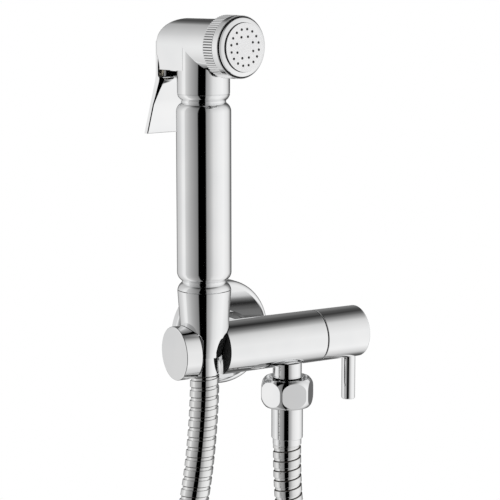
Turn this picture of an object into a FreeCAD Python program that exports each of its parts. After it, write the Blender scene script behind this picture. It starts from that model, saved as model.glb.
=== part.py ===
import FreeCAD, Part
import Sketcher
import math
import os

# A douche kit: a hand spray with a thumb trigger, standing in the cone seat of a
# quarter-turn angle valve, and the ribbed hose that joins the two.
# Frame: X to the right along the valve bar, Y into the wall, Z up, millimetres.
# The origin is the centre of the wall inlet, on the wall's face.

os.makedirs("parts", exist_ok=True)
doc = FreeCAD.newDocument("douche_kit")
V = FreeCAD.Vector

# Driving dimensions: name, value in millimetres, degrees or a count, and what it is.
DIMENSIONS = [
    ("wall_gap", 36.5, "wall to the axis of the valve bar, clear of the trigger as the handset turns"),
    ("bar_diameter", 26.0, "valve bar"),
    ("bar_left", 44.7, "wall inlet to the bar's left end"),
    ("outlet_setback", 16.0, "hose outlet's axis to the bar's right end"),
    ("bar_edge_round", 0.5, "rounding of the bar's ends and the knob's inner end"),
    ("holder_offset", 28.0, "wall inlet to the handset's axis, to the left"),
    ("slot_width", 15.9, "slot in front of the seat that lets the hose in"),
    ("slot_shift", 0.4, "slot's middle to the left of the handset's axis"),
    ("outlet_offset", 19.3, "wall inlet to the hose outlet's axis, to the right"),
    ("waterway_bore", 9.0, "waterway inside the bar"),
    ("waterway_start", 5.0, "waterway's blind end, left of the wall inlet"),
    ("running_gap", 0.3, "gap between pieces that move on each other"),
    ("slide_fit", 0.06, "radial clearance of a turning fit"),
    ("thread_fit", 0.05, "radial clearance of a screwed or pushed fit"),
    # Ceramic headwork
    ("chamber_bore", 16.5, "valve chamber round the headwork"),
    ("chamber_start", 26.5, "bar's right end to the chamber's inner end"),
    ("headwork_thread", 18.0, "headwork's screwed part"),
    ("headwork_thread_length", 9.5, "length of that screwed part"),
    ("headwork_body", 13.4, "headwork's slim part"),
    ("headwork_start", 25.5, "bar's right end to the headwork's inner end"),
    ("headwork_bore", 10.4, "bore that holds the discs"),
    ("headwork_bore_end", 12.5, "bar's right end to the end of that bore"),
    ("headwork_inset", 1.0, "headwork's outer end inside the bar's end"),
    ("window_diameter", 5.0, "headwork's side window"),
    ("seat_seal_end", 23.5, "bar's right end to the outer end of the rubber seat seal"),
    ("seat_seal_bore", 5.6, "bore of the seat seal"),
    ("disc_thickness", 2.2, "each ceramic disc"),
    ("disc_gap", 0.05, "water film between the ceramic discs"),
    ("disc_port", 2.4, "port in a ceramic disc"),
    ("disc_port_offset", 2.9, "port's centre from the disc's centre"),
    ("spindle_diameter", 6.0, "headwork spindle"),
    ("spindle_neck", 4.0, "spindle beside the window and under its seal"),
    ("spindle_fork_thickness", 2.6, "blade that turns the disc"),
    ("spindle_fork_length", 2.0, "length of that blade"),
    ("spindle_collar", 1.2, "spindle's collar behind the headwork's shoulder"),
    ("spindle_reach", 13.0, "spindle beyond the bar's right end"),
    ("seal_groove_play", 0.2, "width of a seal's groove beyond its ring"),
    ("o_ring_section", 1.1, "thickness of the small seal rings"),
    ("spindle_seal_place", 7.0, "bar's right end to the spindle's seal"),
    ("headwork_seal_place", 11.5, "bar's right end to the headwork's seal"),
    # Knob and lever
    ("knob_length", 25.2, "turning knob"),
    ("knob_edge_round", 0.9, "rounding of the knob's outer edge"),
    ("lever_diameter", 7.0, "lever pin"),
    ("lever_setback", 4.6, "lever's axis to the knob's outer end"),
    ("lever_reach", 35.0, "bar's axis to the lever's tip"),
    ("lever_depth", 7.0, "lever's screwed end inside the knob"),
    ("lever_seat", 0.6, "depth of the flat that the lever sits on"),
    ("lever_thread", 5.0, "lever's screwed end"),
    ("lever_tip_round", 0.6, "rounding of the lever's tip"),
    ("set_screw_diameter", 4.0, "knob's set screw"),
    ("set_screw_length", 6.0, "length of the set screw"),
    ("set_screw_place", 6.5, "set screw's axis from the knob's inner end"),
    ("set_screw_socket", 2.0, "hexagon socket across its flats"),
    # Hose outlet
    ("spot_face_depth", 1.5, "flat spot face under the bar for the outlet"),
    ("spot_face_diameter", 16.0, "that spot face"),
    ("outlet_thread", 11.4, "outlet's screwed root in the bar"),
    ("outlet_neck", 14.5, "outlet's plain neck"),
    ("outlet_bore", 8.6, "outlet's bore"),
    ("outlet_ring", 16.4, "ring on the neck, at the nut's mouth"),
    ("outlet_ring_height", 1.0, "height of that ring"),
    ("pipe_thread", 20.7, "half-inch male thread over its crests"),
    ("nut_top", 19.4, "bar's axis to the top of the union nut"),
    ("nut_height", 14.4, "union nut"),
    ("nut_flats", 24.0, "union nut across its flats"),
    ("nut_corner_diameter", 27.0, "union nut over its turned corners"),
    ("nut_end_diameter", 22.4, "union nut at its turned ends"),
    ("nut_corner_height", 5.8, "turned end of the union nut, along its axis"),
    ("nut_corner_round", 8.0, "radius of those turned ends"),
    ("nut_mouth_widening", 0.35, "recess at the mouth beyond the thread"),
    ("nut_turn", 15.0, "turn of the union nut's flats"),
    ("nut_mouth_depth", 1.6, "plain recess at the union nut's mouth"),
    ("nut_floor", 1.8, "union nut's floor"),
    ("outlet_end", 29.0, "bar's axis to the outlet's lower end"),
    ("washer_thickness", 1.5, "rubber hose washer"),
    ("washer_bore", 10.5, "hole of the hose washer"),
    ("tail_flange", 1.3, "flange of a hose tail"),
    ("tail_diameter", 10.4, "hose tail"),
    ("tail_setback", 1.5, "hose tail's end inside its sleeve"),
    ("sleeve_edge_round", 0.5, "rounding of the hose sleeves"),
    ("tail_bore", 7.4, "bore of a hose tail"),
    ("outlet_ferrule_diameter", 15.8, "hose sleeve under the union nut"),
    ("outlet_ferrule_length", 16.7, "wide part of that sleeve"),
    ("outlet_ferrule_rim", 14.4, "narrow lower rim of that sleeve"),
    ("outlet_ferrule_rim_length", 3.0, "length of the narrow rim"),
    # Hose
    ("hose_diameter", 14.2, "ribbed hose over its ribs"),
    ("hose_valley", 13.0, "ribbed hose between its ribs"),
    ("hose_bore", 10.6, "bore of the hose"),
    ("hose_pitch", 5.0, "rib to rib"),
    ("rib_share", 0.62, "share of the pitch that a rib fills"),
    ("rib_flank", 0.1, "share of the pitch that each flank fills"),
    # Wall side
    ("flange_diameter", 53.5, "wall flange"),
    ("flange_wall", 1.2, "thickness of the wall flange"),
    ("flange_rim", 3.7, "straight rim at the wall"),
    ("flange_collar_diameter", 23.6, "flange collar round the inlet"),
    ("flange_shoulder", 6.6, "wall to the foot of the collar"),
    ("flange_height", 12.6, "wall to the front of the collar"),
    ("flange_edge_width", 3.0, "flange's rounded edge beside its face"),
    ("flange_face_height", 6.7, "wall to the face where that edge starts"),
    ("flange_edge_round", 3.0, "radius of the flange's rounded edge"),
    ("inlet_thread", 20.955, "half-inch pipe thread of the wall inlet"),
    ("inlet_reach", 16.0, "inlet's thread behind the wall's face"),
    ("inlet_shank", 20.4, "inlet's plain shank in front of the wall's face"),
    ("inlet_shank_length", 12.0, "length of that shank"),
    ("inlet_neck", 17.0, "inlet's plain neck into the bar"),
    ("inlet_port", 8.0, "hole from that neck into the bar's waterway"),
    ("inlet_depth", 4.6, "inlet's neck inside the bar"),
    ("inlet_bore", 10.0, "inlet's bore"),
    ("gasket_width", 2.6, "flange gasket"),
    ("gasket_thickness", 1.1, "flange gasket's thickness"),
    # Handset: heights above the bar's axis
    ("handset_turn", 10.0, "turn of the handset in its holder"),
    ("cone_top", 29.8, "top of the cone nut"),
    ("cone_break", 7.3, "where the cone nut steepens"),
    ("cone_waist", -0.4, "end of the steep cone"),
    ("cone_bottom", -2.7, "bottom of the cone nut"),
    ("cone_top_diameter", 26.0, "cone nut at its top"),
    ("cone_break_diameter", 22.9, "cone nut where it steepens"),
    ("cone_waist_diameter", 17.3, "cone nut at the end of the steep cone"),
    ("cone_bottom_diameter", 16.6, "cone nut at its bottom"),
    ("cone_floor", 11.5, "cone nut's inner floor"),
    ("handset_ferrule_diameter", 13.6, "hose sleeve under the cone nut"),
    ("handset_ferrule_bottom", -12.2, "bottom of that sleeve"),
    ("handle_foot", 30.1, "handle's lower shoulder"),
    ("handle_foot_diameter", 25.8, "handle's lower collar"),
    ("lower_groove", 33.9, "lower groove"),
    ("upper_groove", -3.6, "upper groove, from the seam between handle and head"),
    ("groove_diameter", 21.4, "handle at the bottom of its grooves"),
    ("groove_land", 0.5, "half the flat width at a groove's bottom"),
    ("handle_diameter", 26.2, "handle"),
    ("shoulder_height", 4.6, "groove to the handle's full width"),
    ("shoulder_round", 5.0, "radius of the shoulders beside a groove"),
    ("handle_wall", 3.0, "handle's wall"),
    ("handle_end_wall", 12.0, "thick ends of the handle"),
    ("bore_run_out", 2.0, "taper at the ends of the handle's wide bore"),
    ("handle_bore", 11.0, "bore through the handle's lower end"),
    ("neck_seam", 123.7, "seam between handle and head"),
    ("neck_diameter", 25.1, "head's neck"),
    ("seam_bevel", 0.25, "bevel on each side of that seam"),
    ("spigot_diameter", 17.0, "head's spigot inside the handle"),
    ("spigot_length", 11.0, "length of that spigot"),
    ("spigot_bore", 9.0, "bore of that spigot"),
    # Head: reach is measured from the handset's axis
    ("head_height", 22.5, "axis of the spray barrel, from that seam"),
    ("head_diameter", 25.2, "spray barrel"),
    ("head_back", 20.8, "handset's axis to the head's back"),
    ("head_floor", 11.1, "underside of the head behind the neck, from that seam"),
    ("head_back_foot", 18.1, "lower end of the head's upright back, from that seam"),
    ("head_back_cut", 2.3, "how far the back draws in below that"),
    ("head_back_cut_radius", 16.0, "radius of that run in"),
    ("head_back_round", 9.0, "rounding of the head's top rear corner, seen from the side"),
    ("head_corner_radius", 10.0, "radius of that rounding"),
    ("head_edge_round", 1.6, "rounding of the head's rear edges"),
    ("barrel_reach", 17.1, "handset's axis to the back of the bezel"),
    ("barrel_spigot", 23.0, "screwed front end of the head"),
    ("barrel_spigot_length", 6.1, "length of that end"),
    ("barrel_bore", 16.0, "bore of the spray barrel"),
    ("barrel_bore_depth", 8.0, "barrel's bore behind the handset's axis"),
    ("hollow_width", 13.6, "hollow behind the neck for the trigger"),
    ("hollow_front", 13.4, "handset's axis to the hollow"),
    ("hollow_top", 25.5, "top of that hollow, from the seam"),
    ("valve_height", 7.9, "axis of the plunger, from the seam"),
    ("valve_bore", 12.0, "plunger's chamber"),
    ("valve_bore_front", 7.0, "chamber's front end before the handset's axis"),
    ("riser_diameter", 5.0, "passage from the chamber up to the barrel"),
    ("riser_place", 5.0, "that passage behind the handset's axis"),
    ("feed_place", 2.6, "feed passage before the handset's axis"),
    ("feed_diameter", 6.4, "feed passage from the handle"),
    ("gland_front", 7.8, "handset's axis to the gland nut"),
    ("gland_back", 11.0, "handset's axis to the gland nut's outer face"),
    ("plunger_diameter", 4.0, "plunger's stem"),
    ("plunger_back", 14.0, "handset's axis to the plunger's outer end"),
    ("plunger_disc", 8.8, "disc that carries the plunger's seal"),
    ("plunger_disc_thickness", 1.4, "that disc"),
    ("seal_gap", 0.05, "plunger's seal to its seat"),
    ("plunger_seal_thickness", 1.2, "rubber seal on the plunger"),
    ("seat_front", 1.0, "handset's axis to the front of the valve seat"),
    ("seat_thickness", 1.8, "valve seat ring"),
    ("seat_bore", 5.6, "hole in the valve seat"),
    ("spring_wire", 0.8, "wire of the return spring"),
    ("spring_diameter", 7.6, "return spring over its coils"),
    ("spring_turns", 2.5, "turns of the return spring"),
    # Spray end: reach before the handset's axis
    ("knurl_diameter", 29.2, "knurled band of the bezel"),
    ("knurl_end", 23.8, "front of the knurled band"),
    ("knurl_count", 72.0, "teeth of the knurled band"),
    ("knurl_groove", 0.95, "width of the groove between teeth"),
    ("knurl_depth", 0.5, "depth of those grooves"),
    ("bezel_front", 27.5, "front of the bezel"),
    ("bezel_rim_diameter", 29.0, "smooth rim of the bezel"),
    ("bezel_edge_round", 0.2, "rounding of the bezel's rim"),
    ("rim_groove_diameter", 28.2, "open groove in the bezel's front, round the front ring"),
    ("rim_groove_depth", 1.5, "depth of that groove"),
    ("ring_diameter", 27.0, "front ring"),
    ("ring_edge", 28.2, "front ring at its outer edge"),
    ("ring_front", 29.1, "front ring where it meets the faceplate"),
    ("ring_gap", 0.3, "gap behind the front ring in that groove"),
    ("face_seal_thickness", 0.8, "rubber seal behind the front ring"),
    ("ring_sleeve", 23.6, "front ring's sleeve inside the bezel"),
    ("ring_bore", 18.0, "front ring's bore"),
    ("ring_edge_round", 0.3, "rounding of the front ring"),
    ("faceplate_diameter", 22.4, "faceplate"),
    ("faceplate_front", 30.2, "front of the faceplate"),
    ("faceplate_thickness", 2.4, "faceplate"),
    ("spray_hole", 1.1, "spray hole"),
    ("outer_circle", 16.7, "pitch circle of the outer holes"),
    ("outer_count", 16.0, "holes in the outer circle"),
    ("outer_start", -14.2, "first outer hole from the top, clockwise from the front"),
    ("inner_circle", 10.3, "pitch circle of the inner holes"),
    ("inner_count", 8.0, "holes in the inner circle"),
    ("inner_start", -25.6, "first inner hole from the top, clockwise from the front"),
    # Trigger: reach is behind the handset's axis
    ("pivot_reach", 17.5, "trigger pin behind the handset's axis"),
    ("pivot_height", 20.9, "trigger pin, from the seam"),
    ("pivot_diameter", 3.0, "trigger pin"),
    ("pin_inset", 0.1, "trigger pin's end inside the head's side"),
    ("pivot_wall", 2.6, "head's wall beside the trigger pin's blind end"),
    ("eye_diameter", 6.2, "trigger's eye round its pin"),
    ("eye_width", 13.0, "width of that eye"),
    ("trigger_width", 20.0, "trigger"),
    ("trigger_top", 24.3, "top of the trigger plate, from the seam"),
    ("trigger_top_reach", 24.0, "outer face behind the head"),
    ("trigger_top_thickness", 2.3, "plate behind the head"),
    ("trigger_bend", 7.1, "where the outer face bends out, from the seam"),
    ("trigger_bend_run", 3.0, "length of the bend on each side of that height"),
    ("trigger_bend_radius", 18.0, "radius of the bend"),
    ("trigger_tip", -20.5, "tip of the trigger, from the seam"),
    ("trigger_tip_reach", 33.5, "outer face at the tip"),
    ("trigger_tip_thickness", 2.8, "plate at the tip"),
    ("trigger_knee", -6.3, "where the plate starts to thicken upwards, from the seam"),
    ("trigger_knee_reach", 25.9, "inner face there"),
    ("trigger_root", 5.3, "where the thick part meets the arm's bend, from the seam"),
    ("trigger_root_reach", 19.6, "inner face there"),
    ("trigger_back_step", 17.3, "top of the sloped inner face behind the head, from the seam"),
    ("trigger_step_depth", 0.8, "depth of that slope"),
    ("trigger_edge_round", 0.9, "rounding of the trigger's side edges"),
    ("arm_top", 9.9, "top of the arm that presses the plunger, from the seam"),
    ("arm_thickness", 3.0, "that arm"),
    ("arm_bend_reach", 16.9, "where the arm's underside bends down"),
    ("arm_bend_radius", 3.1, "radius of that bend"),
    ("arm_gap", 0.2, "arm's end to the plunger"),
]

# Points of the hose's route from the handset's sleeve to the outlet's sleeve, as X and Z
# in the plane of the bar's axis. The first and last points come from the fittings.
HOSE_ROUTE = [
    (-28.0, -40.0),
    (-32.5, -80.0),
    (-49.0, -140.0),
    (-72.0, -208.0),
    (-90.0, -282.0),
    (-92.0, -352.0),
    (-64.0, -418.0),
    (-4.0, -442.0),
    (56.0, -418.0),
    (86.0, -352.0),
    (84.0, -282.0),
    (62.5, -208.0),
    (41.5, -150.0),
    (24.5, -107.0),
    (19.3, -80.0),
]


class Size:
    """A value together with the sheet expression that it comes from."""

    def __init__(self, value, text):
        self.value = float(value)
        self.text = text

    def join(self, other, sign, value):
        return Size(value, "(" + self.text + " " + sign + " " + other.text + ")")

    def __add__(self, other):
        other = as_size(other)
        return self.join(other, "+", self.value + other.value)

    def __radd__(self, other):
        return as_size(other) + self

    def __sub__(self, other):
        other = as_size(other)
        return self.join(other, "-", self.value - other.value)

    def __rsub__(self, other):
        return as_size(other) - self

    def __mul__(self, other):
        other = as_size(other)
        return self.join(other, "*", self.value * other.value)

    def __rmul__(self, other):
        return as_size(other) * self

    def __truediv__(self, other):
        other = as_size(other)
        return self.join(other, "/", self.value / other.value)

    def __neg__(self):
        return Size(-self.value, "(0 - " + self.text + ")")

    def sine(self):
        return Size(math.sin(math.radians(self.value)), "sin(" + self.text + ")")

    def cosine(self):
        return Size(math.cos(math.radians(self.value)), "cos(" + self.text + ")")


def as_size(item):
    if isinstance(item, Size):
        return item
    return Size(item, repr(float(item)))


def make_sheet():
    sheet = doc.addObject("Spreadsheet::Sheet", "dims")
    for row, (name, value, meaning) in enumerate(DIMENSIONS, start=1):
        sheet.set("A" + str(row), meaning)
        sheet.set("B" + str(row), str(value))
        sheet.setAlias("B" + str(row), name)
    doc.recompute()
    return sheet


SHEET = make_sheet()


def dim(name):
    return Size(SHEET.get(name), "dims." + name)


def half(name):
    return dim(name) / 2


def head_level(name):
    """A level of the head or trigger, which is given from the seam between handle and head."""
    return dim("neck_seam") + dim(name)


ZERO = as_size(0)
AXIS_LENGTH = 10.0    # construction lines
CUT_MARGIN = 1.0      # how far a cut runs past the face that it opens
KNURL_MARGIN = 0.1    # the same for the knurl's narrow cuts
TOUCH = 0.01          # how near counts as touching
THROUGH = 100.0       # cuts that go right through
RUN_SHARE = 0.45      # share of a hose run that the arc at its end takes
CONTACT_GAP = 0.02    # spring's ends to what they rest on


def bar_end():
    """X of the bar's right end."""
    return dim("outlet_offset") + dim("outlet_setback")


def inside_bar(name):
    """X of a place that is measured back from the bar's right end."""
    return bar_end() - dim(name)


# Places: every sub-part is drawn about its own axis and then put in place.

def valve_place():
    return (ZERO, -dim("wall_gap"), ZERO)


def outlet_place():
    return (dim("outlet_offset"), -dim("wall_gap"), ZERO)


def handset_place():
    return (-dim("holder_offset"), -dim("wall_gap"), ZERO)


def put(thing, place, turn=None):
    for letter, size in zip("xyz", place):
        thing.setExpression("Placement.Base." + letter, size.text)
    if turn is not None:
        thing.Placement = FreeCAD.Placement(V(0, 0, 0), FreeCAD.Rotation(V(0, 0, 1), turn.value))
        thing.setExpression("Placement.Rotation.Angle", turn.text)
    return thing


def put_on_handset(thing):
    return put(thing, handset_place(), dim("handset_turn"))


# Sketching helpers

def new_body(name):
    body = doc.addObject("PartDesign::Body", name)
    body.Label = name
    return body


def origin_part(body, role):
    """One of the body's own planes or axes."""
    for feature in body.Origin.OriginFeatures:
        if feature.Role == role:
            return feature
    raise RuntimeError("no origin part " + role)


def new_sketch(body, role, name, offset=None):
    """A sketch on one of the body's own planes, moved along the plane's normal by offset."""
    sketch = body.newObject("Sketcher::SketchObject", body.Name + "_" + name)
    sketch.AttachmentSupport = [(origin_part(body, role), "")]
    sketch.MapMode = "FlatFace"
    if offset is not None:
        sketch.setExpression("AttachmentOffset.Base.z", as_size(offset).text)
    return sketch


def bind(sketch, index, size):
    sketch.setExpression("Constraints[" + str(index) + "]", size.text)


def pin_point(sketch, edge, end, x, y):
    """Hold one end of an edge at sheet-driven distances from the sketch's origin."""
    for kind, size in (("DistanceX", x), ("DistanceY", y)):
        index = sketch.addConstraint(Sketcher.Constraint(kind, -1, 1, edge, end, size.value))
        bind(sketch, index, size)


def outline(sketch, corners):
    """Close a loop through corners. A corner is (x, y), or (x, y, radius, side) where the
    edge that arrives there is an arc: side is 1 if it bulges to the left of its chord."""
    ends = [(as_size(c[0]), as_size(c[1])) for c in corners]
    first = sketch.GeometryCount
    for number, corner in enumerate(corners):
        x, y = ends[number]
        before = ends[number - 1]
        start = V(before[0].value, before[1].value, 0)
        finish = V(x.value, y.value, 0)
        if len(corner) == 2:
            sketch.addGeometry(Part.LineSegment(start, finish), False)
            continue
        radius, side = as_size(corner[2]), corner[3]
        chord = finish - start
        left = V(-chord.y, chord.x, 0).normalize()
        sagitta = radius.value - math.sqrt(radius.value ** 2 - (chord.Length / 2) ** 2)
        middle = (start + finish) * 0.5 + left * (sagitta * side)
        sketch.addGeometry(Part.Arc(start, middle, finish), False)
    total = len(corners)
    for number, corner in enumerate(corners):
        edge = first + number
        following = first + (number + 1) % total
        end_mark = 2
        start_mark = 1
        if len(corner) == 4 and corner[3] > 0:
            end_mark = 1
        if len(corner) == 4 and corner[3] < 0:
            end_mark = 2
        after = corners[(number + 1) % total]
        if len(after) == 4 and after[3] > 0:
            start_mark = 2
        sketch.addConstraint(Sketcher.Constraint("Coincident", edge, end_mark, following, start_mark))
        pin_point(sketch, edge, end_mark, *ends[number])
        if len(corner) == 4:
            radius = as_size(corner[2])
            index = sketch.addConstraint(Sketcher.Constraint("Radius", edge, radius.value))
            bind(sketch, index, radius)


def circle(sketch, x, y, radius):
    x, y, radius = as_size(x), as_size(y), as_size(radius)
    edge = sketch.addGeometry(Part.Circle(V(x.value, y.value, 0), V(0, 0, 1), radius.value), False)
    pin_point(sketch, edge, 3, x, y)
    index = sketch.addConstraint(Sketcher.Constraint("Radius", edge, radius.value))
    bind(sketch, index, radius)


def rectangle(sketch, x0, y0, x1, y1):
    outline(sketch, [(x0, y0), (x1, y0), (x1, y1), (x0, y1)])


def axis_line(sketch, x, y, direction):
    """A construction line through a point, which a turned feature uses as its axis."""
    x, y = as_size(x), as_size(y)
    start = V(x.value, y.value, 0)
    line = sketch.addGeometry(Part.LineSegment(start, start + direction * AXIS_LENGTH), True)
    pin_point(sketch, line, 1, x, y)
    kind = "Vertical" if direction.x == 0 else "Horizontal"
    sketch.addConstraint(Sketcher.Constraint(kind, line))
    sketch.addConstraint(Sketcher.Constraint("Distance", line, AXIS_LENGTH))


def spin(body, kind, name, role, corners, axis):
    """Revolve a closed outline. The axis is the sketch's own H_Axis or V_Axis, or a pair:
    "upright" with the x, or "level" with the y, that the line runs through."""
    sketch = new_sketch(body, role, name + "_sketch")
    if isinstance(axis, str):
        reference = axis
    else:
        reference = "Axis0"
        if axis[0] == "upright":
            axis_line(sketch, axis[1], ZERO, V(0, 1, 0))
        else:
            axis_line(sketch, ZERO, axis[1], V(1, 0, 0))
    outline(sketch, corners)
    feature = body.newObject("PartDesign::" + kind, body.Name + "_" + name)
    feature.Profile = sketch
    feature.ReferenceAxis = (sketch, [reference])
    feature.Angle = 360
    return feature


def push(body, kind, name, sketch, length, symmetric=False, backwards=False):
    """Pad or Pocket a sketch by a sheet-driven length."""
    feature = body.newObject("PartDesign::" + kind, body.Name + "_" + name)
    feature.Profile = sketch
    size = as_size(length)
    feature.Length = size.value
    feature.setExpression("Length", size.text)
    if symmetric:
        feature.Midplane = True
    feature.Reversed = backwards
    return feature


def repeat_round(body, name, feature, count):
    """Repeat a feature in a full circle about the body's own Y axis."""
    pattern = body.newObject("PartDesign::PolarPattern", body.Name + "_" + name)
    pattern.Originals = [feature]
    pattern.Axis = (origin_part(body, "Y_Axis"), [""])
    pattern.Angle = 360
    pattern.Occurrences = int(round(count.value))
    pattern.setExpression("Occurrences", count.text)
    body.Tip = pattern
    return pattern


def turned(name, role, corners, axis):
    """A body that is one revolved outline."""
    body = new_body(name)
    spin(body, "Revolution", "turn", role, corners, axis)
    return body


def tube_corners(inner, outer, low, high):
    """Outline of a ring or tube about the vertical axis of a sketch."""
    return [(inner, low), (outer, low), (outer, high), (inner, high)]


def lying_corners(inner, outer, left, right):
    """Outline of a ring or tube about the horizontal axis of a sketch."""
    return [(left, inner), (right, inner), (right, outer), (left, outer)]


def seal_ring(name, role, x, y, section, axis):
    """A rubber ring of round section, centred at x and y in the sketch."""
    body = new_body(name)
    sketch = new_sketch(body, role, "turn_sketch")
    circle(sketch, x, y, section / 2)
    feature = body.newObject("PartDesign::Revolution", name + "_turn")
    feature.Profile = sketch
    feature.ReferenceAxis = (sketch, [axis])
    feature.Angle = 360
    return body


# Valve body and the wall side

def make_valve_body():
    bar = half("bar_diameter")
    edge = dim("bar_edge_round")
    thread = half("headwork_thread") + dim("thread_fit")
    chamber = half("chamber_bore")
    waterway = half("waterway_bore")
    left = -dim("bar_left")
    thread_end = bar_end() - dim("headwork_thread_length")
    body = turned("valve_body", "XZ_Plane", [
        (left, ZERO),
        (left, bar - edge),
        (left + edge, bar, edge, 1),
        (bar_end() - edge, bar),
        (bar_end(), bar - edge, edge, 1),
        (bar_end(), thread),
        (thread_end, thread),
        (thread_end, chamber),
        (inside_bar("chamber_start"), chamber),
        (inside_bar("chamber_start"), waterway),
        (-dim("waterway_start"), waterway),
        (-dim("waterway_start"), ZERO),
    ], "H_Axis")
    # Cone seat for the handset, bored from above, and the slot that lets the hose in.
    holder = -dim("holder_offset")
    gap = dim("running_gap")
    top_seat = seat_radius_at_bar_top() + gap
    break_seat = half("cone_break_diameter") + gap
    waist_seat = half("cone_waist_diameter") + gap
    spin(body, "Groove", "seat", "XZ_Plane", [
        (holder, -bar - CUT_MARGIN),
        (holder + waist_seat, -bar - CUT_MARGIN),
        (holder + waist_seat, dim("cone_waist")),
        (holder + break_seat, dim("cone_break")),
        (holder + top_seat, bar + CUT_MARGIN),
        (holder, bar + CUT_MARGIN),
    ], ("upright", holder))
    slot = new_sketch(body, "XY_Plane", "slot_sketch")
    middle = holder - dim("slot_shift")
    rectangle(slot, middle - half("slot_width"), -bar - CUT_MARGIN, middle + half("slot_width"), ZERO)
    push(body, "Pocket", "slot", slot, dim("bar_diameter") + 2 * CUT_MARGIN, symmetric=True)
    # Outlet port under the bar, with a flat spot face.
    outlet = dim("outlet_offset")
    port = half("outlet_thread") + dim("thread_fit")
    spot = half("spot_face_diameter")
    spot_level = dim("spot_face_depth") - bar
    spin(body, "Groove", "outlet_port", "XZ_Plane", [
        (outlet, -bar - CUT_MARGIN),
        (outlet + spot, -bar - CUT_MARGIN),
        (outlet + spot, spot_level),
        (outlet + port, spot_level),
        (outlet + port, -half("headwork_body") - CUT_MARGIN),
        (outlet, -half("headwork_body") - CUT_MARGIN),
    ], ("upright", outlet))
    # Inlet port in the bar's back.
    neck = half("inlet_neck") + dim("thread_fit")
    floor = bar - dim("inlet_depth")
    spin(body, "Groove", "inlet_port", "XY_Plane", [
        (ZERO, ZERO),
        (half("inlet_port"), ZERO),
        (half("inlet_port"), floor),
        (neck, floor),
        (neck, bar + CUT_MARGIN),
        (ZERO, bar + CUT_MARGIN),
    ], "V_Axis")
    return put(body, valve_place())


def seat_radius_at_bar_top():
    """Radius of the cone nut's upper taper where it passes the top of the bar."""
    share = (half("bar_diameter") - dim("cone_break")) / (dim("cone_top") - dim("cone_break"))
    rise = half("cone_top_diameter") - half("cone_break_diameter")
    return half("cone_break_diameter") + rise * share


def seal_groove(surface, place, section):
    """Corners of a groove for a seal ring, cut inwards from a surface, along rising place."""
    width = section + dim("seal_groove_play")
    floor = surface - section
    return [
        (place - width / 2, surface),
        (place - width / 2, floor),
        (place + width / 2, floor),
        (place + width / 2, surface),
    ]


def inlet_inner_end():
    """Y of the inlet's inner end, which meets the floor of its port in the bar."""
    return half("bar_diameter") - dim("inlet_depth") - dim("wall_gap")


def inlet_seal_place():
    return inlet_inner_end() + dim("inlet_depth") / 2


def make_inlet():
    bore = half("inlet_bore")
    neck = half("inlet_neck")
    thread = half("inlet_thread")
    groove = [(r, y) for y, r in seal_groove(neck, inlet_seal_place(), dim("o_ring_section"))]
    corners = [(bore, inlet_inner_end()), (neck, inlet_inner_end())] + groove + [
        (neck, -dim("inlet_shank_length")),
        (half("inlet_shank"), -dim("inlet_shank_length")),
        (half("inlet_shank"), ZERO),
        (thread, ZERO),
        (thread, dim("inlet_reach")),
        (bore, dim("inlet_reach")),
    ]
    turned("wall_inlet", "XY_Plane", corners, "V_Axis")
    section = dim("o_ring_section")
    seal_ring("inlet_seal", "XY_Plane", neck - section / 2, inlet_seal_place(), section, "V_Axis")


def make_wall_flange():
    outer = half("flange_diameter")
    wall = dim("flange_wall")
    hole = half("inlet_thread") + dim("thread_fit")
    collar = half("flange_collar_diameter")
    face = outer - dim("flange_edge_width")
    edge_round = dim("flange_edge_round")
    turned("wall_flange", "XY_Plane", [
        (outer, ZERO),
        (outer, -dim("flange_rim")),
        (face, -dim("flange_face_height"), edge_round, 1),
        (collar, -dim("flange_shoulder")),
        (collar, -dim("flange_height")),
        (hole, -dim("flange_height")),
        (hole, wall - dim("flange_shoulder")),
        (face, wall - dim("flange_face_height")),
        (outer - wall, -dim("flange_rim"), edge_round - wall, -1),
        (outer - wall, ZERO),
    ], "V_Axis")
    edge = outer - wall - dim("running_gap")
    inner = edge - dim("gasket_width")
    turned("flange_gasket", "XY_Plane", tube_corners(inner, edge, -dim("gasket_thickness"), ZERO), "V_Axis")


# Headwork: everything here lies along the bar's axis

def thread_start():
    return bar_end() - dim("headwork_thread_length")


def fixed_disc_end():
    return inside_bar("seat_seal_end") + dim("disc_thickness")


def turning_disc_start():
    return fixed_disc_end() + dim("disc_gap")


def turning_disc_end():
    return turning_disc_start() + dim("disc_thickness")


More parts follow.
